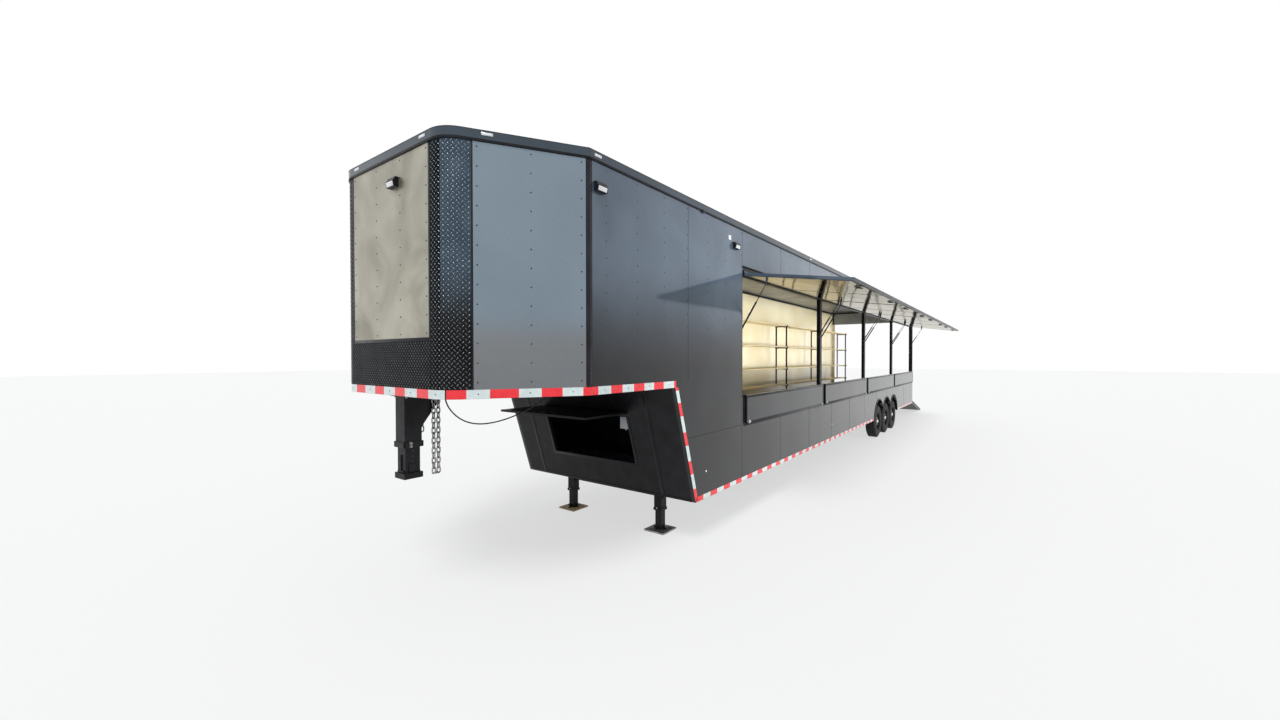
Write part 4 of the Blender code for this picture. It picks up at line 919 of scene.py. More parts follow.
def buildRail():
    bm = bmesh.new()
    reach, rear, side = rail["proud"], -body["length"] - rail["proud"], body["halfWidth"] + rail["proud"]
    for z, height, out, index in rail["bands"]:
        corner = body["noseHalf"] + chamferLength + 0.005
        noseBand(bm, -corner, corner, z, z + height, out, index, reach)
        for face in ("leftSide", "rightSide"):
            plateOn(bm, face, body["noseRun"] + 0.002, body["length"] + reach, z, z + height, out, index,
                    reach)
        block(bm, (rear - out, -side, z), (rear + sunk["plate"], side, z + height), index)
    start, end, low, high = rail["splice"]
    block(bm, (start, side - 0.001, low), (end, side + 0.010, high), soft=0.002)
    finishPiece(bm, "railBands", [blackTrim, railPaint], "trailer")
    # roof sheet seams and bows
    bm = bmesh.new()
    x, half = rail["firstBow"], body["halfWidth"] - 0.05
    while x > -body["length"] + 0.2:
        block(bm, (x - 0.012, -half, body["roofTop"] - 0.0005),
              (x + 0.012, half, body["roofTop"] + 0.0012), soft=0.0005)
        x -= rail["bows"]
    finishPiece(bm, "roofSeams", blackTrim, "trailer")


# Marker lamps on the rail: face, along it, height
markers = [("front", 0.236, 3.541), ("front", 1.271, 3.541), ("leftCorner", 0.303, 3.543),
           ("rightCorner", 0.303, 3.543)]
markers += [(face, along, 3.536) for along in (0.983, 6.0, 11.0, 15.9) for face in ("leftSide", "rightSide")]
# a marker's case and its lens: half the width, half the height, depth, material and rounding
markerShapes = ((0.040, 0.011, 0.0045, 0, 0.0015), (0.026, 0.0075, 0.0085, 1, 0.0025))


def buildMarkers():
    bm = bmesh.new()
    for face, along, z in markers:
        for wide, tall, depth, index, soft in markerShapes:
            plateOn(bm, face, along - wide, along + wide, z - tall, z + tall, depth, index,
                    lift=rail["proud"], soft=soft)
    finishPiece(bm, "markerLamps", [brightSteel, lensClear], "trailer")


buildRail()
buildMarkers()

# Flood and tail lamps
lamps = {
    "width": 0.112,
    "height": 0.074,
    "depth": 0.045,
    "floods": (("front", body["noseHalf"] + 0.112, 3.295), ("leftSide", 1.003, 3.295),
               ("leftSide", 3.349, 3.268)),
    "ribs": (-0.9, -0.3, 0.3, 0.9),             # on the hood's top, as shares of its half width
    "tails": ((0.900, 0.220), (1.180, 0.120)),  # bottom and height
    "rearMarkers": (-1.050, -0.200, 0.0, 0.200, 1.050),
    "sideMarkers": (2.676, 7.2, 9.9, 15.6),
    "sideHeight": 0.753,
    "barePlate": (3.192, 3.250, 3.318, 3.368),
}


# A hooded lamp over the CAD one, on a face at a station along it
def floodLamp(bm, face, along, z):
    half, depth, wide = lamps["height"] / 2, lamps["depth"], lamps["width"] / 2 + 0.0012
    matrix = faceMatrix(face)
    section = [(0.0, half + 0.001), (depth * 0.55, half + 0.001), (depth + 0.0008, half * 0.1),
               (depth * 0.80 + 0.0006, -half - 0.0008), (0.0, -half - 0.0008)]
    prism(bm, [matrix @ Vector((along - wide, z + up, out)) for out, up in section],
          matrix.to_3x3() @ Vector((2 * wide, 0, 0)), 0)
    # the lens looks down and out between the hood's two lips
    tilt = Matrix.Rotation(atan2(depth * 0.20, half * 1.1), 4, "X")
    lens = matrix @ Matrix.Translation((along, z - half * 0.45, depth * 0.90 + 0.0006)) @ tilt
    block(bm, (-wide * 0.84, -half * 0.46, -0.001), (wide * 0.84, half * 0.46, 0.0022), 1, lens, 0.0008)
    for k in range(4):
        u = wide * (-0.63 + 0.42 * k)
        block(bm, (u - 0.008, -half * 0.30, 0.0018), (u + 0.008, half * 0.30, 0.0032), 2, lens)
    for share in lamps["ribs"]:
        u = along + wide * share
        block(bm, (u - 0.0015, z + half * 0.1, 0.001), (u + 0.0015, z + half * 1.06, depth * 0.56), 0, matrix)


def buildLamps():
    bm = bmesh.new()
    for place in lamps["floods"]:
        floodLamp(bm, *place)
    finishPiece(bm, "floodLamps", [blackTrim, lensClear, brightSteel], "trailer")
    # tail and marker lamps over the rear frame's own
    bm = bmesh.new()
    rear = -body["length"] - 0.012
    caseBack, caseFront, lensFront = rear + 0.0125, rear - 0.0008, rear - 0.0018
    at = body["halfWidth"] - body["wall"] - 0.0003 - 0.026
    for sign in (1, -1):
        for bottom, height in lamps["tails"]:
            block(bm, (caseFront, sign * at - 0.0176, bottom - 0.0006),
                  (caseBack, sign * at + 0.0176, bottom + height + 0.0006), 1, soft=0.0012)
            block(bm, (lensFront, sign * at - 0.014, bottom + 0.005),
                  (rear, sign * at + 0.014, bottom + height - 0.005), 0, soft=0.0006)
    for y in lamps["rearMarkers"]:
        block(bm, (caseFront, y - 0.0608, 3.2924), (caseBack, y + 0.0608, 3.3276), 1, soft=0.0012)
        block(bm, (lensFront, y - 0.053, 3.298), (rear, y + 0.053, 3.322), 0, soft=0.0006)
    finishPiece(bm, "tailLamps", [lensRed, blackTrim], "trailer")
    # small round side markers and a bare plate
    bm = bmesh.new()
    for face in ("leftSide", "rightSide"):
        out = faces[face][2]
        for along in lamps["sideMarkers"]:
            at = onFace(face, along, lamps["sideHeight"])
            button(bm, at, out, 0.017, 0.004, 20, 0)
            button(bm, at + out * 0.003, out, 0.011, 0.006, 16, 1)
    plateOn(bm, "leftSide", *lamps["barePlate"], 0.0012, 1, soft=0.0004)
    finishPiece(bm, "sideMarkers", [blackTrim, lensClear], "trailer", merge=False)


buildLamps()
print("lamps fitted")

# Awning doors
door = {
    "beadY": body["halfWidth"] + 0.010,
    "beadZ": 2.9975,
    "droop": 8.1,
    "reach": 1.278,
    "gap": 0.004,           # from a door's end to the middle of the post
    "outer": 0.010,         # from the bead's plane to the door's outer skin
    "inner": 0.045,
    "edge": 0.034,
    "start": (0.030, 0.050),    # where the channel at the bead begins and ends
    "brace": 0.020,         # half the stiffener
    "latchShares": (0.20, 0.80),
    "rivetRows": (0.075, 0.45, 0.83),
}


# X along the trailer, Y from the bead along the door, Z out of its outer skin
def doorMatrix():
    turn = radians(-door["droop"])
    return Matrix(((1, 0, 0, 0), (0, cos(turn), -sin(turn), door["beadY"]),
                   (0, sin(turn), cos(turn), door["beadZ"]), (0, 0, 0, 1)))


def buildAwning(index):
    front = bays["start"] + bays["post"] / 2 - index * bays["pitch"] - door["gap"]
    rear = front - bays["pitch"] + 2 * door["gap"]
    middle = (front + rear) / 2
    rider = "awning_%d" % (index + 1)
    turned = doorMatrix()
    out = turned.to_3x3() @ Vector((0, 0, 1))
    inner, outer, edge, reach = -door["inner"], -door["outer"], door["edge"], door["reach"]
    (start, lip), brace, sink = door["start"], door["brace"], sunk["plate"]
    # polished sheets under the door, in two halves either side of a stiffener
    bm = bmesh.new()
    for x0, x1 in ((rear + edge, middle - brace), (middle + brace, front - edge)):
        block(bm, (x0, lip, inner - skin["sheet"]), (x1, reach - edge, inner + sink), 0, turned)
    longEdges = [side for side in bm.edges if side.calc_length() > 0.5]
    bmesh.ops.subdivide_edges(bm, edges=longEdges, cuts=5, use_grid_fill=True)
    finishPiece(bm, "awningSheet%d" % (index + 1), polishedSheetAndReflection, rider)
    # black frame: edge channels, stiffener, latches and their keepers
    bm = bmesh.new()
    for x0, x1, y0, y1, thick in ((rear + 0.001, rear + edge, start, reach - 0.001, 0.0030),
                                  (front - edge, front - 0.001, start, reach - 0.001, 0.0030),
                                  (rear + edge, front - edge, reach - edge, reach - 0.001, 0.0030),
                                  (rear + edge, front - edge, start, lip, 0.0030),
                                  (middle - brace, middle + brace, lip, reach - edge, 0.0024)):
        block(bm, (x0, y0, inner - thick), (x1, y1, inner + sink), 0, turned, 0.0008)
    # the free edge's channel wraps the skin as well
    for y0, z0 in ((reach - 0.024, outer - sink), (reach - sink, inner - 0.0030)):
        block(bm, (rear + 0.001, y0, z0), (front - 0.001, reach + 0.0016, outer + 0.0016), 0, turned)
    for share in door["latchShares"]:
        x = rear + (front - rear) * share
        block(bm, (x - 0.040, reach - 0.140, inner - 0.007), (x + 0.040, reach - 0.085, inner), 1,
              turned, 0.002)
        block(bm, (x - 0.010, reach - 0.130, inner - 0.020), (x + 0.010, reach - 0.050, inner - 0.006), 0,
              turned, 0.003)
        button(bm, turned @ Vector((x, reach - 0.112, inner - 0.020)), -out, 0.008, 0.004, 12, 1)
    finishPiece(bm, "awningFrame%d" % (index + 1), [blackTrim, greySteel], rider)
    # rivets round the outer skin
    bm = bmesh.new()
    x = rear + 0.045
    while x < front - 0.03:
        for along in (*door["rivetRows"], reach - 0.045):
            button(bm, turned @ Vector((x, along, outer)), out, rivets["radius"], rivets["height"], 8)
        x += rivets["column"] / 2
    finishPiece(bm, "awningRivets%d" % (index + 1), rivetSteel, rider, smooth=60, merge=False)


for index in range(bays["count"]):
    buildAwning(index)
print("awnings dressed")

# Counter flaps, posts and sill
flap = {
    "low": 1.155,
    "top": 1.497,
    "outer": 1.3205,
    "gap": 0.009,           # from the opening's side to the flap's
    "border": 0.026,
    "screws": 3,
    "latch": 0.075,         # from the flap's side to the latch's middle
}
surround = {
    "stripe": (1.150, 1.480),
    "rubRail": (1.128, 1.148),
    "seal": 0.014,
    "sealLift": 0.0016,     # low enough to stay clear of the closed door
}


def buildFlap(index):
    front, rear = bayEnds[index][0] - flap["gap"], bayEnds[index][1] + flap["gap"]
    rider = "flap_%d" % (index + 1)
    low, top, out, edge = flap["low"], flap["top"], flap["outer"], flap["border"]
    bm = bmesh.new()
    for x0, x1, z0, z1 in ((rear, front, low, low + edge), (rear, front, top - edge, top),
                           (rear, rear + edge, low + edge, top - edge),
                           (front - edge, front, low + edge, top - edge)):
        block(bm, (x0 + 0.0005, out - sunk["plate"], z0), (x1 - 0.0005, out + 0.0030, z1), 0, soft=0.0010)
    for k in range(1, flap["screws"] + 1):
        x = rear + (front - rear) * k / (flap["screws"] + 1)
        for z in (low + 0.013, top - 0.013):
            button(bm, (x, out, z), (0, 1, 0), 0.005, 0.0045, 10, 0)
    finishPiece(bm, "flapFrame%d" % (index + 1), blackTrim, rider, merge=False)
    # a bright slam latch near each lower corner
    bm = bmesh.new()
    for x in (front - flap["latch"], rear + flap["latch"]):
        block(bm, (x - 0.022, out, low + 0.004), (x + 0.022, out + 0.006, low + 0.040), 0, soft=0.0015)
        bar(bm, (x, out + 0.004, low + 0.022), (x, out + 0.016, low + 0.022), 0.010, 16, 0, 0.008)
        block(bm, (x - 0.016, out + 0.012, low + 0.017), (x + 0.016, out + 0.018, low + 0.027), 0, soft=0.002)
    finishPiece(bm, "flapLatches%d" % (index + 1), brightSteel, rider, merge=False)


def buildBaySurrounds():
    out, sink = body["halfWidth"], sunk["plate"]
    seal, wide, lift = out - body["wall"] - 0.0003, surround["seal"], surround["sealLift"]
    stripeLow, stripeHigh = surround["stripe"]
    rubLow, rubHigh = surround["rubRail"]
    bm = bmesh.new()
    for front, rear in bayEnds:
        # black stripes between the flaps, and a rub rail under them
        for x0, x1 in ((front - 0.004, front + 0.020), (rear - 0.020, rear + 0.004)):
            block(bm, (x0, out - sink, stripeLow), (x1, out + 0.0022, stripeHigh), 0, soft=0.0006)
        block(bm, (rear - 0.02, out - sink, rubLow), (front + 0.02, out + 0.0035, rubHigh), 0, soft=0.0010)
        # rubber round the opening, on the frame's outer face
        for x0, x1, z0, z1 in ((front, front + wide, bays["sill"], bays["top"]),
                               (rear - wide, rear, bays["sill"], bays["top"]),
                               (rear - wide, front + wide, bays["top"], bays["top"] + wide)):
            block(bm, (x0, seal - sink, z0 + 0.02), (x1, seal + lift, z1), 1, soft=0.0004)
    finishPiece(bm, "bayTrims", [blackTrim, gasketBlack], "trailer", merge=False)


for index in range(bays["count"]):
    buildFlap(index)
buildBaySurrounds()
print("flaps dressed")

# Inside: linings and shelves
room = {
    "ceiling": 3.488,
    "joint": 1.2192,
    "front": -3.445,                            # behind the step under the nose's floor
    "rearWall": 0.062,                          # from the body's end to the linings
    "wheelBox": (-13.547, -10.593, 0.984),      # rear, front, top
    "sheet": 0.0025,
    "overBays": 3.095,
    "underSill": 1.400,
    "header": (3.118, 3.122),                   # under and over the joint at the doorway's top
    "ceilingHalf": 1.238,
}


def buildLining():
    inner, sheet = body["halfWidth"] - body["wall"], room["sheet"]
    rearEnd = -body["length"] + room["rearWall"]
    bm = bmesh.new()
    low, high = body["floorTop"] + 0.002, room["ceiling"] - 0.002
    ends = [room["front"]]
    while ends[-1] - room["joint"] > -body["length"] + 0.10:
        ends.append(ends[-1] - room["joint"])
    ends.append(rearEnd)
    boxRear, boxFront, boxTop = room["wheelBox"]
    for x1, x0 in zip(ends, ends[1:]):
        # sheets on the far wall, cut over the wheel box
        spans = [(x0, x1, low)]
        if x0 < boxFront and x1 > boxRear:
            spans = [(max(x0, boxRear), min(x1, boxFront), boxTop)]
            if x0 < boxRear:
                spans.append((x0, boxRear, low))
            if x1 > boxFront:
                spans.append((boxFront, x1, low))
        for a, b, z in spans:
            block(bm, (a + 0.0015, -inner - 0.0002, z), (b - 0.0015, -inner + sheet, high))
    finishPiece(bm, "farWallLining", liningCream, "trailer")
    bm = bmesh.new()
    for x in ends[1:-1]:
        z = boxTop if boxRear - 0.02 < x < boxFront + 0.02 else low
        block(bm, (x - 0.011, -inner + 0.0020, z), (x + 0.011, -inner + 0.0042, high), soft=0.0008)
    block(bm, (ends[-1], -inner, high - 0.03), (ends[0], -inner + 0.012, high), soft=0.002)
    finishPiece(bm, "liningStrips", liningCream, "trailer")
    # the near wall's inner face: over the bays, and under them either side of the wheel box
    bm = bmesh.new()
    block(bm, (rearEnd, inner - sheet, room["overBays"]), (room["front"], inner + 0.0002, high))
    for x1, x0 in ((-3.475, -10.590), (-13.550, rearEnd)):
        block(bm, (x0, inner - sheet, low), (x1, inner + 0.0002, room["underSill"]))
    # and the rear frame's inner face
    post, header = -body["length"] + 0.0598, body["halfWidth"] - body["doorwaySide"]
    under, over = room["header"]
    for y0, y1 in ((-inner + 0.0035, -header), (header, inner - 0.0035)):
        block(bm, (post, y0, low), (post + sheet, y1, under))
    block(bm, (post, -header, over), (post + sheet, header, high), 1)
    finishPiece(bm, "nearWallLining", [liningCream, boxGrey], "trailer")
    # round the raised front of the cabin
    bm = bmesh.new()
    low, corner = body["noseBottom"] + 0.072, body["noseHalf"] + chamferLength - 0.0125
    noseBand(bm, -corner, corner, low, high, 0.0023, 0, -body["wall"] - 0.0021)
    for y0, y1 in ((-inner - 0.0002, -inner + sheet), (inner - sheet, inner + 0.0002)):
        block(bm, (-3.4435, y0, low), (-body["noseRun"] - 0.013, y1, high))
    block(bm, (-3.4459, -inner + 0.003, body["floorTop"] + 0.002), (-3.4432, inner - 0.003, low - 0.004))
    finishPiece(bm, "noseLining", liningCream, "trailer")
    bm = bmesh.new()
    spots = map(noseSpot, noseStops(-corner, corner))
    outline = [place - out * (body["wall"] + 0.003) for place, out in spots]
    outline += [Vector((-3.440, y, 0)) for y in (inner - 0.003, 0.003 - inner)]
    prism(bm, [point + Vector((0, 0, low - 0.0023)) for point in outline], (0, 0, 0.0018))
    finishPiece(bm, "noseFloorSheet", floorRubber, "trailer")
    # ceiling sheets between the roof's rails
    bm = bmesh.new()
    under, half = body["roofTop"] - 0.040, room["ceilingHalf"]
    x = -1.0
    while x > -body["length"] + 0.3:
        end = max(x - room["joint"], -body["length"] + 0.058)
        block(bm, (end + 0.002, -half, under - 0.003), (x - 0.002, half, under + 0.0002))
        block(bm, (end - 0.010, -half, under - 0.006), (end + 0.010, half, under - 0.002), soft=0.001)
        x = end
    finishPiece(bm, "ceilingSheets", ceilingGrey, "trailer")


shelves = {
    "startX": -7.600,
    "endX": -15.980,
    "frontY": -0.740,
    "depth": 0.340,
    "board": 0.022,
    "planks": 3,
    "post": 0.032,
    "levels": (1.270, 1.700, 2.240, 2.790),
    "bays": 3,
}


def buildShelves():
    y0, y1 = shelves["frontY"] - shelves["depth"], shelves["frontY"]
    bm = bmesh.new()
    pitch = (shelves["startX"] - shelves["endX"] - shelves["post"]) / shelves["bays"]
    postX = [shelves["startX"] - shelves["post"] / 2 - i * pitch for i in range(shelves["bays"] + 1)]
    for z in shelves["levels"]:
        for row in range(shelves["planks"]):
            # the planks of a shelf are butted at the posts
            ya = y0 + 0.004 + row * (shelves["depth"] - 0.006) / shelves["planks"]
            yb = ya + (shelves["depth"] - 0.018) / shelves["planks"]
            for a, b in zip(postX, postX[1:]):
                block(bm, (b + 0.001, ya, z - shelves["board"]), (a - 0.001, yb, z - 0.0002), 0, soft=0.0015)
    finishPiece(bm, "shelfPlanks", boardWoodAndPaintedLight, "trailer")
    bm = bmesh.new()
    for x in postX:
        for y, foot in ((y0 + shelves["post"], shelves["levels"][0] - shelves["board"] - 0.010),
                        (y1 - shelves["post"], body["floorTop"] + 0.0003)):
            half = shelves["post"] / 2
            wide = half + 0.006
            block(bm, (x - half, y - half, foot), (x + half, y + half, shelves["levels"][-1] + 0.010), 0,
                  soft=0.002)
            block(bm, (x - wide, y - wide, foot), (x + wide, y + wide, foot + 0.006), 0)
        for z in shelves["levels"]:
            # bearers and clips under the planks
            under = z - shelves["board"]
            block(bm, (x - 0.020, y0 + 0.010, under - 0.024), (x + 0.020, y1 - 0.004, under - 0.0002), 0,
                  soft=0.002)
            block(bm, (x - 0.030, y1 - 0.010, under - 0.030), (x + 0.030, y1 + 0.0016, z + 0.002), 0,
                  soft=0.002)
    finishPiece(bm, "shelfFrame", blackSteel, "trailer")
    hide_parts("shelf_unit")


buildLining()
buildShelves()
print("inside lined")

# Wheels
wheel = {
    "radius": 0.390,
    "width": 0.235,
    "bore": 0.205,
    "centreY": 1.1675,
    "grooves": (0.050, 0.0, -0.050),
    "treadBlocks": 54,
    "rimHalf": 0.090,
    "well": 0.165,
    "holes": 8,
    "holeCircle": 0.127,
    "nuts": 8,
    "nutCircle": 0.0825,
}


def tyreProfile():
    r, half, bore = wheel["radius"], wheel["width"] / 2, wheel["bore"]
    side = [(bore, half - 0.030), (bore + 0.010, half - 0.020), (bore + 0.022, half - 0.012),
            (bore + 0.040, half - 0.004), (0.285, half - 0.001), (0.300, half), (0.306, half - 0.003),
            (0.314, half - 0.001), (0.345, half - 0.006), (r - 0.022, half - 0.016),
            (r - 0.010, half - 0.030), (r - 0.002, half - 0.044)]
    grooves = []
    for y in wheel["grooves"]:
        grooves += [(r, y + 0.006), (r - 0.009, y + 0.004), (r - 0.009, y - 0.004), (r, y - 0.006)]
    return side + grooves + [(radius, -y) for radius, y in reversed(side)]


def buildWheel(axle, side, sign):
    name = "wheel_%d_%s" % (axle, side)
    centre = Vector((axleX[axle - 1], sign * wheel["centreY"], wheel["radius"]))
    bm = bmesh.new()
    turnY(bm, tyreProfile(), centre, 64)
    # sipes: slim blocks across the shoulders
    for k in range(wheel["treadBlocks"]):
        turn = Matrix.Translation(centre) @ Matrix.Rotation(2 * pi * k / wheel["treadBlocks"], 4, "Y")
        for y in (0.083, -0.083):
            lean = Matrix.Rotation(radians(-38 if y > 0 else 38), 4, "X")
            lean = turn @ Matrix.Translation((0, y, wheel["radius"] - 0.0045)) @ lean
            block(bm, (-0.014, -0.017, -0.006), (0.014, 0.013, 0.0032), 0, lean)
    tyre = finishPiece(bm, "tyre_%d_%s_detail" % (axle, side), rubber, name, smooth=40)
    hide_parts("tyre_%d_%s" % (axle, side))

    half, well = wheel["rimHalf"], wheel["well"]
    seat = wheel["bore"] - 0.0003
    bm = bmesh.new()
    # outboard is +Y here; the right side is turned round at the end
    barrel = [(seat, half), (seat - 0.003, half + 0.006), (seat - 0.008, half + 0.006),
              (seat - 0.011, half - 0.004), (well + 0.012, half - 0.052), (well, half - 0.062),
              (well, -half + 0.036), (seat - 0.011, -half + 0.006), (seat - 0.008, -half), (seat, -half),
              (seat, -half + 0.015), (well + 0.009, -half + 0.040), (well + 0.009, half - 0.060),
              (seat, half - 0.025)]
    turnY(bm, barrel, (0, 0, 0), 48, 0)
    disc = [(0.034, half - 0.062), (0.034, half - 0.030), (0.070, half - 0.030), (0.090, half - 0.034),
            (0.104, half - 0.046), (0.118, half - 0.036), (0.134, half - 0.034), (0.150, half - 0.044),
            (well + 0.002, half - 0.062), (well + 0.002, half - 0.074), (0.148, half - 0.060),
            (0.118, half - 0.050), (0.100, half - 0.060), (0.066, half - 0.046)]
    turnY(bm, disc, (0, 0, 0), 48, 0)
    for k in range(wheel["holes"]):
        a = 2 * pi * (k + 0.5) / wheel["holes"]
        x, z = wheel["holeCircle"] * cos(a), wheel["holeCircle"] * sin(a)
        bar(bm, (x, half - 0.0345, z), (x, half - 0.0325, z), 0.0125, 16, 2)
    for k in range(wheel["nuts"]):
        a = 2 * pi * k / wheel["nuts"]
        x, z = wheel["nutCircle"] * cos(a), wheel["nutCircle"] * sin(a)
        bar(bm, (x, half - 0.036, z), (x, half - 0.014, z), 0.0105, 6, 1)
        bar(bm, (x, half - 0.014, z), (x, half - 0.008, z), 0.0080, 12, 1, 0.004)
    # bright hub cap
    cap = [(0.0, half + 0.019), (0.020, half + 0.018), (0.036, half + 0.012), (0.044, half + 0.002),
           (0.047, half - 0.010), (0.048, half - 0.026), (0.056, half - 0.030), (0.056, half - 0.034)]
    turnY(bm, cap, (0, 0, 0), 40, 1, closed=False)
    bar(bm, (0, half - 0.060, 0), (0, half - 0.034, 0), 0.050, 24, 0)
    bmesh.ops.remove_doubles(bm, verts=bm.verts, dist=0.00002)
    matrix = toWorld @ Matrix.Translation(centre) @ Matrix.Rotation(0 if sign > 0 else pi, 4, "Z")
    rim = finishPiece(bm, "rim_%d_%s_detail" % (axle, side), [blackSteel, brightSteel, gasketBlack], name,
                      matrix=matrix)
    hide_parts("rim_%d_%s" % (axle, side))


for axle in (1, 2, 3):
    buildWheel(axle, "left", 1)
    buildWheel(axle, "right", -1)
print("wheels fitted")

# Wheel arches
arch = {"radius": 0.530, "centreZ": 0.390, "lip": 0.030, "thick": 0.010}


def buildArches():
    bm = bmesh.new()
    rise = body["bottom"] - arch["centreZ"]
    halfSpan = (axleX[0] - axleX[1]) / 2
    outer = atan2(rise, (arch["radius"] ** 2 - rise ** 2) ** 0.5)
    inner = atan2((arch["radius"] ** 2 - halfSpan ** 2) ** 0.5, halfSpan)
    for sign in (1, -1):
        y0, y1 = sign * (body["halfWidth"] - 0.001), sign * (body["halfWidth"] + arch["thick"] - 0.002)
        for i, x in enumerate(axleX):
            start = outer if i == 0 else inner
            end = pi - (outer if i == len(axleX) - 1 else inner)
            centre = (x, 0, arch["centreZ"])
            small, large = arch["radius"] + 0.0005, arch["radius"] + arch["lip"]
            corners = [(x + r * cos(start), y, arch["centreZ"] + r * sin(start))
                       for r, y in ((small, y0), (large, y0), (large, y1), (small, y1))]
            sweepY(bm, corners, centre, -(end - start), 20)
    finishPiece(bm, "archTrims", blackTrim, "trailer")


# Belly: tread plate, box and hatch
belly = {
    "left": 0.593,
    "right": -0.672,
    "top": 1.330,
    "bottom": 0.800,
    "border": 0.034,
    "tread": 0.046,
    "treadScale": 1.15,
    "seams": 0.30,              # from the hatchway's side
    "seamScrews": 9,
    "box": 0.125,               # the electrical box's width and height
}


# X across the trailer, Y up the slanted wall, Z out of it, from its bottom edge
def dropMatrix():
    rise = body["noseBottom"] - body["bottom"]
    run = body["dropTopX"] - body["dropBottomX"]
    slant = hypot(rise, run)
    up, out = Vector((run / slant, 0, rise / slant)), Vector((rise / slant, 0, -run / slant))
    return Matrix(((0, up.x, out.x, body["dropBottomX"]), (1, 0, 0, 0), (0, up.z, out.z, body["bottom"]),
                   (0, 0, 0, 1))), slant, slant / rise


def buildBelly():
    matrix, slant, stretch = dropMatrix()
    side = body["halfWidth"] - body["wall"] - 0.002
    low = (belly["bottom"] - body["bottom"]) * stretch
    high = (belly["top"] - body["bottom"]) * stretch
    edge, left, right = belly["border"], belly["left"], belly["right"]
    patches = ((-side, right - edge, 0.010, slant - 0.012), (left + edge, side, 0.010, slant - 0.012),
               (right - edge, left + edge, 0.010, low - edge),
               (right - edge, left + edge, high + edge + 0.035, slant - 0.012))
    bm = bmesh.new()
    treadBars(bm, lambda u, v: matrix @ Matrix.Translation((u, v, 0)), inset(patches), belly["tread"],
              belly["treadScale"])
    finishPiece(bm, "bellyTread", blackTrim, "trailer", smooth=50, merge=False)
    # seal round the hatchway, seams with screws beside it, and the edge angles
    bm = bmesh.new()
    for a, b, c, d in ((right - edge, left + edge, low - edge, low), (right - edge, right, low, high),
                       (left, left + edge, low, high)):
        block(bm, (a, c, -0.0005), (b, d, 0.004), 0, matrix, 0.001)
    for y in (left + belly["seams"], right - belly["seams"]):
        block(bm, (y - 0.022, 0.0, -0.0005), (y + 0.022, slant - 0.004, 0.0028), 0, matrix, 0.0008)
        for k in range(belly["seamScrews"]):
            at = matrix @ Vector((y, 0.06 + k * (slant - 0.12) / (belly["seamScrews"] - 1), 0.0026))
            button(bm, at, matrix.to_3x3() @ Vector((0, 0, 1)), 0.006, 0.0024, 8)
    block(bm, (-side - 0.001, 0.0, -0.0005), (side + 0.001, 0.026, 0.0040), 0, matrix, 0.0010)
    finishPiece(bm, "bellyTrims", blackTrim, "trailer")
    # the electrical box on the hatchway's jamb: cover, glands and screws
    boxTop = belly["top"] - 0.015
    y0, y1, z0 = left - belly["box"], left, boxTop - belly["box"]
    run, rise = body["dropTopX"] - body["dropBottomX"], body["noseBottom"] - body["bottom"]
    front = body["dropTopX"] - (body["noseBottom"] - z0) * run / rise - 0.010
    bm = bmesh.new()
    block(bm, (front - 0.1154, y0 - 0.0006, z0 - 0.0006), (front - 0.018, y1 - 0.0003, boxTop + 0.0006), 0,
          soft=0.003)
    block(bm, (front - 0.019, y0 - 0.0020, z0 - 0.0020), (front + 0.0020, y1 - 0.0003, boxTop + 0.0020), 0,
          soft=0.004)
    for y in (y0 + 0.012, y1 - 0.012):
        for z in (z0 + 0.012, boxTop - 0.012):
            button(bm, (front + 0.002, y, z), (1, 0, 0), 0.0045, 0.0022, 10)
    for y in (y0 + 0.035, y0 + 0.085):
        bar(bm, (front - 0.060, y, z0 - 0.026), (front - 0.060, y, z0), 0.011, 16)
        bar(bm, (front - 0.060, y, z0 - 0.016), (front - 0.060, y, z0 - 0.008), 0.015, 6)
    finishPiece(bm, "electricalBox", boxGrey, "trailer")
    # hatch: pressed border, stiffeners under it and a paddle latch at its free edge
    low3, high3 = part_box("belly_hatch")
    far, near = high3[0] - noseX, low3[0] - noseX + 0.030
    under, over = high3[2] - 0.0205, high3[2]
    bm = bmesh.new()
    ya, yb = low3[1] - midY + 0.002, high3[1] - midY - 0.002
    for k in range(4):
        y = ya + (yb - ya) * (k + 0.5) / 4
        block(bm, (near + 0.06, y - 0.020, under - 0.010), (far - 0.050, y + 0.020, under + 0.0005), 0,
              soft=0.003)
    for a, b, c, d in ((near + 0.02, far - 0.002, ya, ya + 0.022), (near + 0.02, far - 0.002, yb - 0.022, yb),
                       (far - 0.026, far - 0.002, ya, yb)):
        block(bm, (a, c, under - 0.0024), (b, d, under + 0.0004), 0, soft=0.0006)
    middle = (ya + yb) / 2
    block(bm, (far - 0.110, middle - 0.055, over - 0.0005), (far - 0.040, middle + 0.055, over + 0.006), 1,
          soft=0.002)
    block(bm, (far - 0.100, middle - 0.042, over + 0.004), (far - 0.055, middle + 0.042, over + 0.009), 1,
          soft=0.002)
    finishPiece(bm, "hatchDetail", [blackSteel, blackTrim], "belly_hatch")


buildArches()
buildBelly()
print("belly dressed")

# Coupler, chains and legs
hitch = {
    "x": -0.150,
    "tube": 0.140,
    "stem": 0.120,
    "tubeBottom": 1.250,
    "rim": 0.010,                       # the welded collar's thickness
    "rimHigh": 0.045,
    "setScrews": (1.262, 1.286),
    "lugs": (-0.205, -0.120, 0.060),    # bolts in the top plate, from the tube's middle
    "collar": 0.152,
    "holes": (1.085, 0.045, 4),         # in the stem: lowest, pitch and count
}
chain = {
    "wire": 0.0055,
    "length": 0.062,
    "width": 0.038,
    "bite": 0.0012,
    "loop": 15,
    "short": 7,
    "barX": -0.310,
    "barZ": 1.626,
    "barRadius": 0.007,
    "sideGap": 0.020,
}


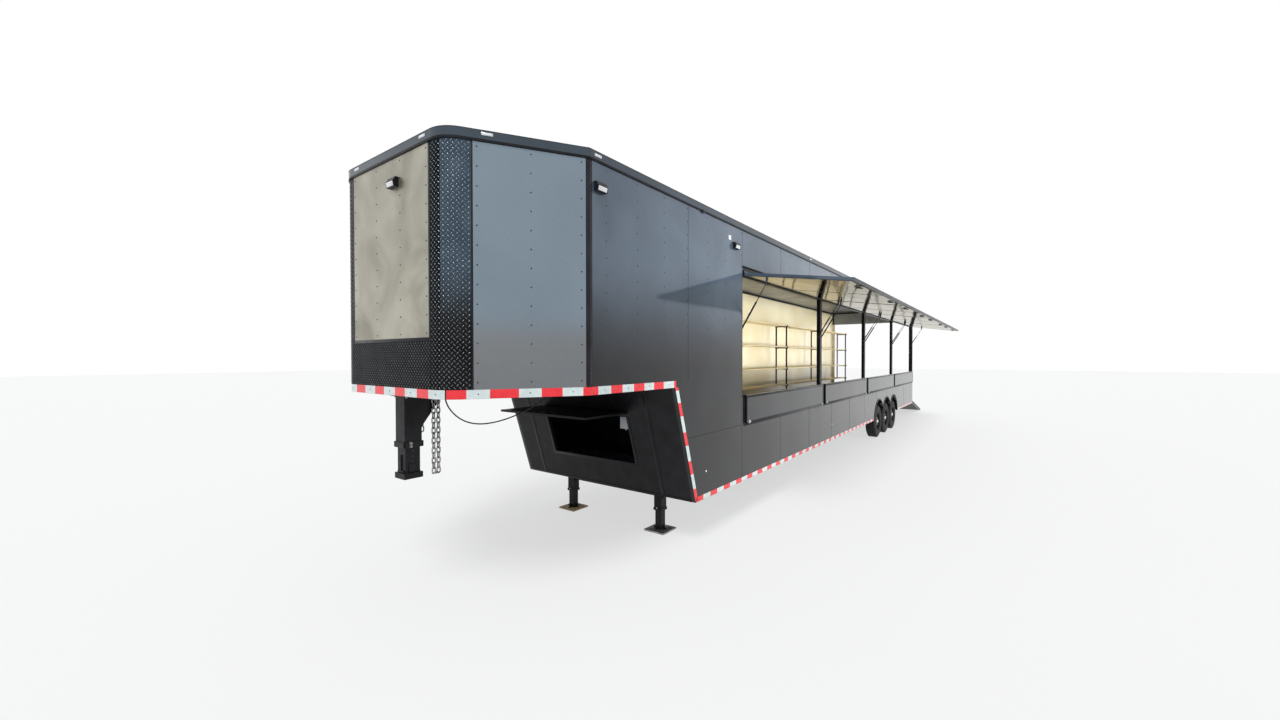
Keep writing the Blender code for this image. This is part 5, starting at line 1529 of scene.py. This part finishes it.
def buildCouplerDetail():
    x, half, stem = hitch["x"], hitch["tube"] / 2, hitch["stem"] / 2
    rim, z0, z1 = hitch["rim"], hitch["tubeBottom"] - 0.001, hitch["tubeBottom"] + hitch["rimHigh"]
    top = body["noseBottom"]
    bm = bmesh.new()
    # a collar welded round the tube's mouth, with set screws and jam nuts
    for sign in (1, -1):
        block(bm, (x - half - rim, half if sign > 0 else -half - rim, z0),
              (x + half + rim, half + rim if sign > 0 else -half, z1), 0, soft=0.002)
        for z in hitch["setScrews"]:
            u = x + 0.030 * sign
            bar(bm, (u, sign * (half + 0.008), z), (u, sign * (half + 0.022), z), 0.012, 6, 1)
            bar(bm, (u, sign * (half + 0.020), z), (u, sign * (half + 0.034), z), 0.008, 12, 1)
    for x0, x1 in ((x + half, x + half + rim), (x - half - rim, x - half)):
        block(bm, (x0, -half - rim, z0), (x1, half + rim, z1), 0, soft=0.002)
    # bolts through the top plate's lugs
    for u in hitch["lugs"]:
        for sign in (1, -1):
            y = sign * (half + 0.017)
            bar(bm, (x + u, y, top - 0.026), (x + u, y, top - 0.0145), 0.010, 6, 1)
    finishPiece(bm, "couplerCollar", [blackSteel, greySteel], "trailer")
    # the stem's adjusting holes, latch plates and bottom bumper
    bm = bmesh.new()
    lowest, pitch, count = hitch["holes"]
    for k in range(count):
        z = lowest + pitch * k
        for sign in (1, -1):
            near, far = sign * (stem - 0.0005), sign * (stem + 0.0012)
            bar(bm, (x, near, z), (x, far, z), 0.0105, 16, 1)
            bar(bm, (x + near, 0, z), (x + far, 0, z), 0.0105, 16, 1)
    for sign in (1, -1):
        y = sign * (stem + 0.004)
        block(bm, (x - 0.034, y - 0.005, 1.050), (x + 0.034, y + 0.005, 1.120), 0, soft=0.003)
    block(bm, (x + stem - 0.001, -0.045, 1.052), (x + stem + 0.011, 0.045, 1.066), 0, soft=0.002)
    block(bm, (x + stem - 0.001, -0.006, 1.064), (x + stem + 0.010, 0.006, 1.150), 0, soft=0.002)
    bar(bm, (x + stem + 0.004, 0, 1.150), (x + stem + 0.004, 0, 1.190), 0.007, 12, 0)
    circle = (hitch["collar"] / 2 - 0.012) * 1.1
    for k in range(4):
        a = pi / 4 + k * pi / 2
        u, v = x + circle * cos(a), circle * sin(a)
        bar(bm, (u, v, 1.044), (u, v, 1.052), 0.008, 6, 0)
    finishPiece(bm, "stemDetail", [blackSteel, gasketBlack], "trailer")
    # bracket plate under the nose beside the chains
    bm = bmesh.new()
    block(bm, (-0.452, -0.052, top - 0.010), (-0.392, 0.008, top), 0, soft=0.002)
    finishPiece(bm, "cablePlate", greySteel, "trailer")


# One link, its long axis along Z, lying in XZ
def linkInto(bm):
    ring = chain["width"] / 2 - chain["wire"]
    straight = (chain["length"] - chain["width"]) / 2
    made = bmesh.ops.create_circle(bm, segments=10, radius=chain["wire"])
    edges = list({edge for vert in made["verts"] for edge in vert.link_edges})
    bmesh.ops.translate(bm, vec=(ring, 0, 0), verts=made["verts"])
    bmesh.ops.rotate(bm, cent=(0, 0, 0), matrix=Matrix.Rotation(-pi / 16, 3, "Y"), verts=made["verts"])
    bmesh.ops.spin(bm, geom=made["verts"] + edges, cent=(0, 0, 0), axis=(0, 1, 0), angle=2 * pi, steps=16,
                   use_merge=True)
    bmesh.ops.translate(bm, vec=(0, 0, straight), verts=[vert for vert in bm.verts if vert.co.z > 0])
    bmesh.ops.translate(bm, vec=(0, 0, -straight), verts=[vert for vert in bm.verts if vert.co.z < 0])


def buildChains():
    pitch = chain["length"] - 4 * chain["wire"] + chain["bite"]
    y = hitch["tube"] / 2 + chain["sideGap"]
    ends = y + chain["wire"] * 1.5
    bm = bmesh.new()
    for x in (chain["barX"], chain["barX"] - pitch):
        bar(bm, (x, -ends, chain["barZ"]), (x, ends, chain["barZ"]), chain["barRadius"], 20)
        for sign in (1, -1):
            bar(bm, (x, sign * (ends + 0.001), chain["barZ"]), (x, sign * (ends - 0.004), chain["barZ"]),
                0.011, 6)
    link = bmesh.new()
    linkInto(link)
    linkMesh = bpy.data.meshes.new("linkSource")
    link.to_mesh(linkMesh)
    link.free()
    run = [(0.0, -1.0)] * chain["loop"] + [(-1.0, 0.0)] + [(0.0, 1.0)] * chain["loop"]
    for sign, steps in ((1, run), (-1, [(0.0, -1.0)] * chain["short"])):
        at = Vector((chain["barX"], sign * y, chain["barZ"] + chain["barRadius"] - chain["bite"] / 2))
        for i, (tx, tz) in enumerate(steps):
            step = Vector((tx, 0, tz)) * pitch
            lean = Matrix.Rotation(atan2(tx, tz), 4, "Y")
            roll = Matrix.Rotation(pi / 2 if i % 2 else 0, 4, "Z")
            before = set(bm.verts)
            bm.from_mesh(linkMesh)
            bmesh.ops.transform(bm, matrix=Matrix.Translation(at + step / 2) @ lean @ roll,
                                verts=[vert for vert in bm.verts if vert not in before])
            at += step
    bpy.data.meshes.remove(linkMesh)
    piece = finishPiece(bm, "chainLinks", greySteel, "trailer", smooth=50, merge=False)
    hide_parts("safety_chains")


leg = {
    "x": -2.680,
    "y": 0.695,
    "outer": 0.100,
    "sleeve": 0.230,
    "band": (0.006, 0.030),             # round the sleeve's mouth: thickness and height
    "pin": 0.262,
    "shaft": 0.3917,
    "holes": (0.070, 0.055, 3),         # in the inner leg: lowest, pitch and count
    "bolts": (0.048, 0.075),            # of the top plate, from the leg's middle
    "foot": 0.266,
}


def buildLegs():
    bm = bmesh.new()
    x, half = leg["x"], leg["outer"] / 2
    thick, tall = leg["band"]
    lowest, pitch, count = leg["holes"]
    boltX, boltY = leg["bolts"]
    for sign in (1, -1):
        y = sign * leg["y"]
        # a band round the sleeve's mouth, pin holes and the cross shaft's bearing
        for dx0, dx1, dy0, dy1 in ((-half - thick, half + thick, half, half + thick),
                                   (-half - thick, half + thick, -half - thick, -half),
                                   (half, half + thick, -half, half), (-half - thick, -half, -half, half)):
            block(bm, (x + dx0, y + dy0, leg["sleeve"]), (x + dx1, y + dy1, leg["sleeve"] + tall), 0)
        bar(bm, (x - half - 0.020, y, leg["pin"]), (x + half + 0.020, y, leg["pin"]), 0.009, 12, 1)
        bar(bm, (x, y - half - 0.012, leg["shaft"]), (x, y + half + 0.012, leg["shaft"]), 0.030, 20, 0)
        for k in range(count):
            z = lowest + pitch * k
            bar(bm, (x + 0.0395, y, z), (x + 0.0412, y, z), 0.010, 14, 2)
        for dx in (-boltX, boltX):
            for dy in (-boltY, boltY):
                bar(bm, (x + dx, y + dy, 0.436), (x + dx, y + dy, 0.4480), 0.009, 6, 1)
        # web plates from the leg down to its foot
        for turn in range(4):
            matrix = Matrix.Translation((x, y, 0)) @ Matrix.Rotation(turn * pi / 2, 4, "Z")
            web = [matrix @ Vector((reach, -0.003, z)) for reach, z in ((0.039, 0.015), (0.100, 0.015),
                                                                        (0.039, 0.060))]
            prism(bm, web, matrix.to_3x3() @ Vector((0, 0.006, 0)), 0)
    finishPiece(bm, "legDetail", [blackSteel, greySteel, gasketBlack], "trailer")
    for name, sign, material in (("nearFoot", 1, greySteel), ("farFoot", -1, padWood)):
        bm = bmesh.new()
        half, y = leg["foot"] / 2 + 0.0008, sign * leg["y"]
        block(bm, (x - half, y - half, 0.0003), (x + half, y + half, 0.0168), 0, soft=0.0015)
        finishPiece(bm, name, material, "trailer")


buildCouplerDetail()
buildChains()
buildLegs()
print("coupler, chains and legs dressed")

# Rear: frame, ramp and its cleats
ramp = {
    "hingeX": -16.184,
    "hingeZ": 0.600,
    "drop": 0.571,              # from the hinge to the tip's middle on the ground
    "length": 2.530,
    "half": 1.205,
    "thick": 0.050,
    "cleats": 15,
    "side": 0.045,              # the width of its edge strips
}
cap = {
    "above": 0.004,             # over the closed ramp's tip
    "past": 0.030,              # beyond each side of the doorway
    "shelf": (0.036, 0.005),    # how far out and how high
    "plate": (0.0022, 0.038),
    "screws": 15,
}


def buildRear():
    angle = atan2(ramp["drop"], (ramp["length"] ** 2 - ramp["drop"] ** 2) ** 0.5)
    # X back along the ramp from its hinge, Y across, Z out of its upper face
    hinge = Matrix.Translation((ramp["hingeX"], 0, ramp["hingeZ"]))
    matrix = hinge @ Matrix.Rotation(pi, 4, "Z") @ Matrix.Rotation(angle, 4, "Y")
    top, half, side, length = ramp["thick"] / 2, ramp["half"], ramp["side"], ramp["length"]
    bm = bmesh.new()
    for k in range(ramp["cleats"]):
        x = 0.18 + k * (length - 0.42) / (ramp["cleats"] - 1)
        block(bm, (x - 0.006, -half + 0.09, top - 0.0005), (x + 0.006, half - 0.09, top + 0.0035), 0,
              matrix, 0.0012)
    finishPiece(bm, "rampCleats", blackTrim, "rear_ramp")
    bm = bmesh.new()
    for y0, y1 in ((-half + 0.0005, -half + side), (half - side, half - 0.0005)):
        block(bm, (0.030, y0, top - 0.0005), (length - 0.152, y1, top + 0.0020), 0, matrix, 0.0008)
        block(bm, (0.030, y0, -top - 0.0020), (length - 0.030, y1, -top + 0.0005), 0, matrix, 0.0008)
    block(bm, (0.030, -half + side, top - 0.0005), (0.075, half - side, top + 0.0020), 0, matrix, 0.0008)
    finishPiece(bm, "rampEdges", greySteel, "rear_ramp")
    # a drip cap over the doorway, just clear of the closed ramp's tip
    rear = -body["length"]
    opening = body["halfWidth"] - body["doorwaySide"]
    capLow = ramp["hingeZ"] + length + cap["above"]
    bm = bmesh.new()
    for out, height in (cap["shelf"], cap["plate"]):
        block(bm, (rear - out, -opening - cap["past"], capLow),
              (rear + sunk["plate"], opening + cap["past"], capLow + height), 0, soft=0.0008)
    finishPiece(bm, "dripCap", blackTrim, "trailer", merge=False)
    # screws in the frame and in the cap
    bm = bmesh.new()
    for y in (-opening - 0.012, opening + 0.012):
        for k in range(18):
            button(bm, (rear, y, 0.70 + k * 0.14), (-1, 0, 0), 0.0050, 0.0024, 8, 0)
    for k in range(cap["screws"]):
        at = (rear - cap["plate"][0], -1.05 + k * 0.15, capLow + 0.024)
        button(bm, at, (-1, 0, 0), 0.0050, 0.0024, 8, 0)
    finishPiece(bm, "rearScrews", blackTrim, "trailer", merge=False)


buildRear()

# CAD nodes that stay, with their finishes
stay = {
    "nose_wall": sidePaintAndReflection, "side_wall_left_front": sidePaintAndReflection, "side_wall_left_bays": sidePaintAndReflection,
    "side_wall_right_front": sidePaintAndReflection, "side_wall_right_rear": sidePaintAndReflection, "rear_ramp": blackSteel,
    "bay_frame": blackTrim, "hinge_rail_upper": blackTrim, "roof": blackTrim,
    "rear_frame": blackTrim, "nose_floor": blackSteel, "chassis_frame": blackSteel, "drop_wall": blackSteel,
    "belly_hatch": blackSteel, "running_gear": blackSteel, "landing_gear": blackSteel,
    "coupler_tube": blackSteel, "coupler_stem": blackSteel, "main_floor": floorRubber,
    "wheel_box_left": blackSteel, "wheel_box_right": blackSteel,
}
for number in range(1, 5):
    stay["awning_%d" % number] = sidePaintAndReflection
    stay["flap_%d" % number] = sidePaintAndReflection
    for end in ("front", "rear"):
        stay["strut_tube_%d_%s" % (number, end)] = blackTrim
        stay["strut_rod_%d_%s" % (number, end)] = rivetSteel
for node, material in stay.items():
    dress(node, material)
print("nodes finished")
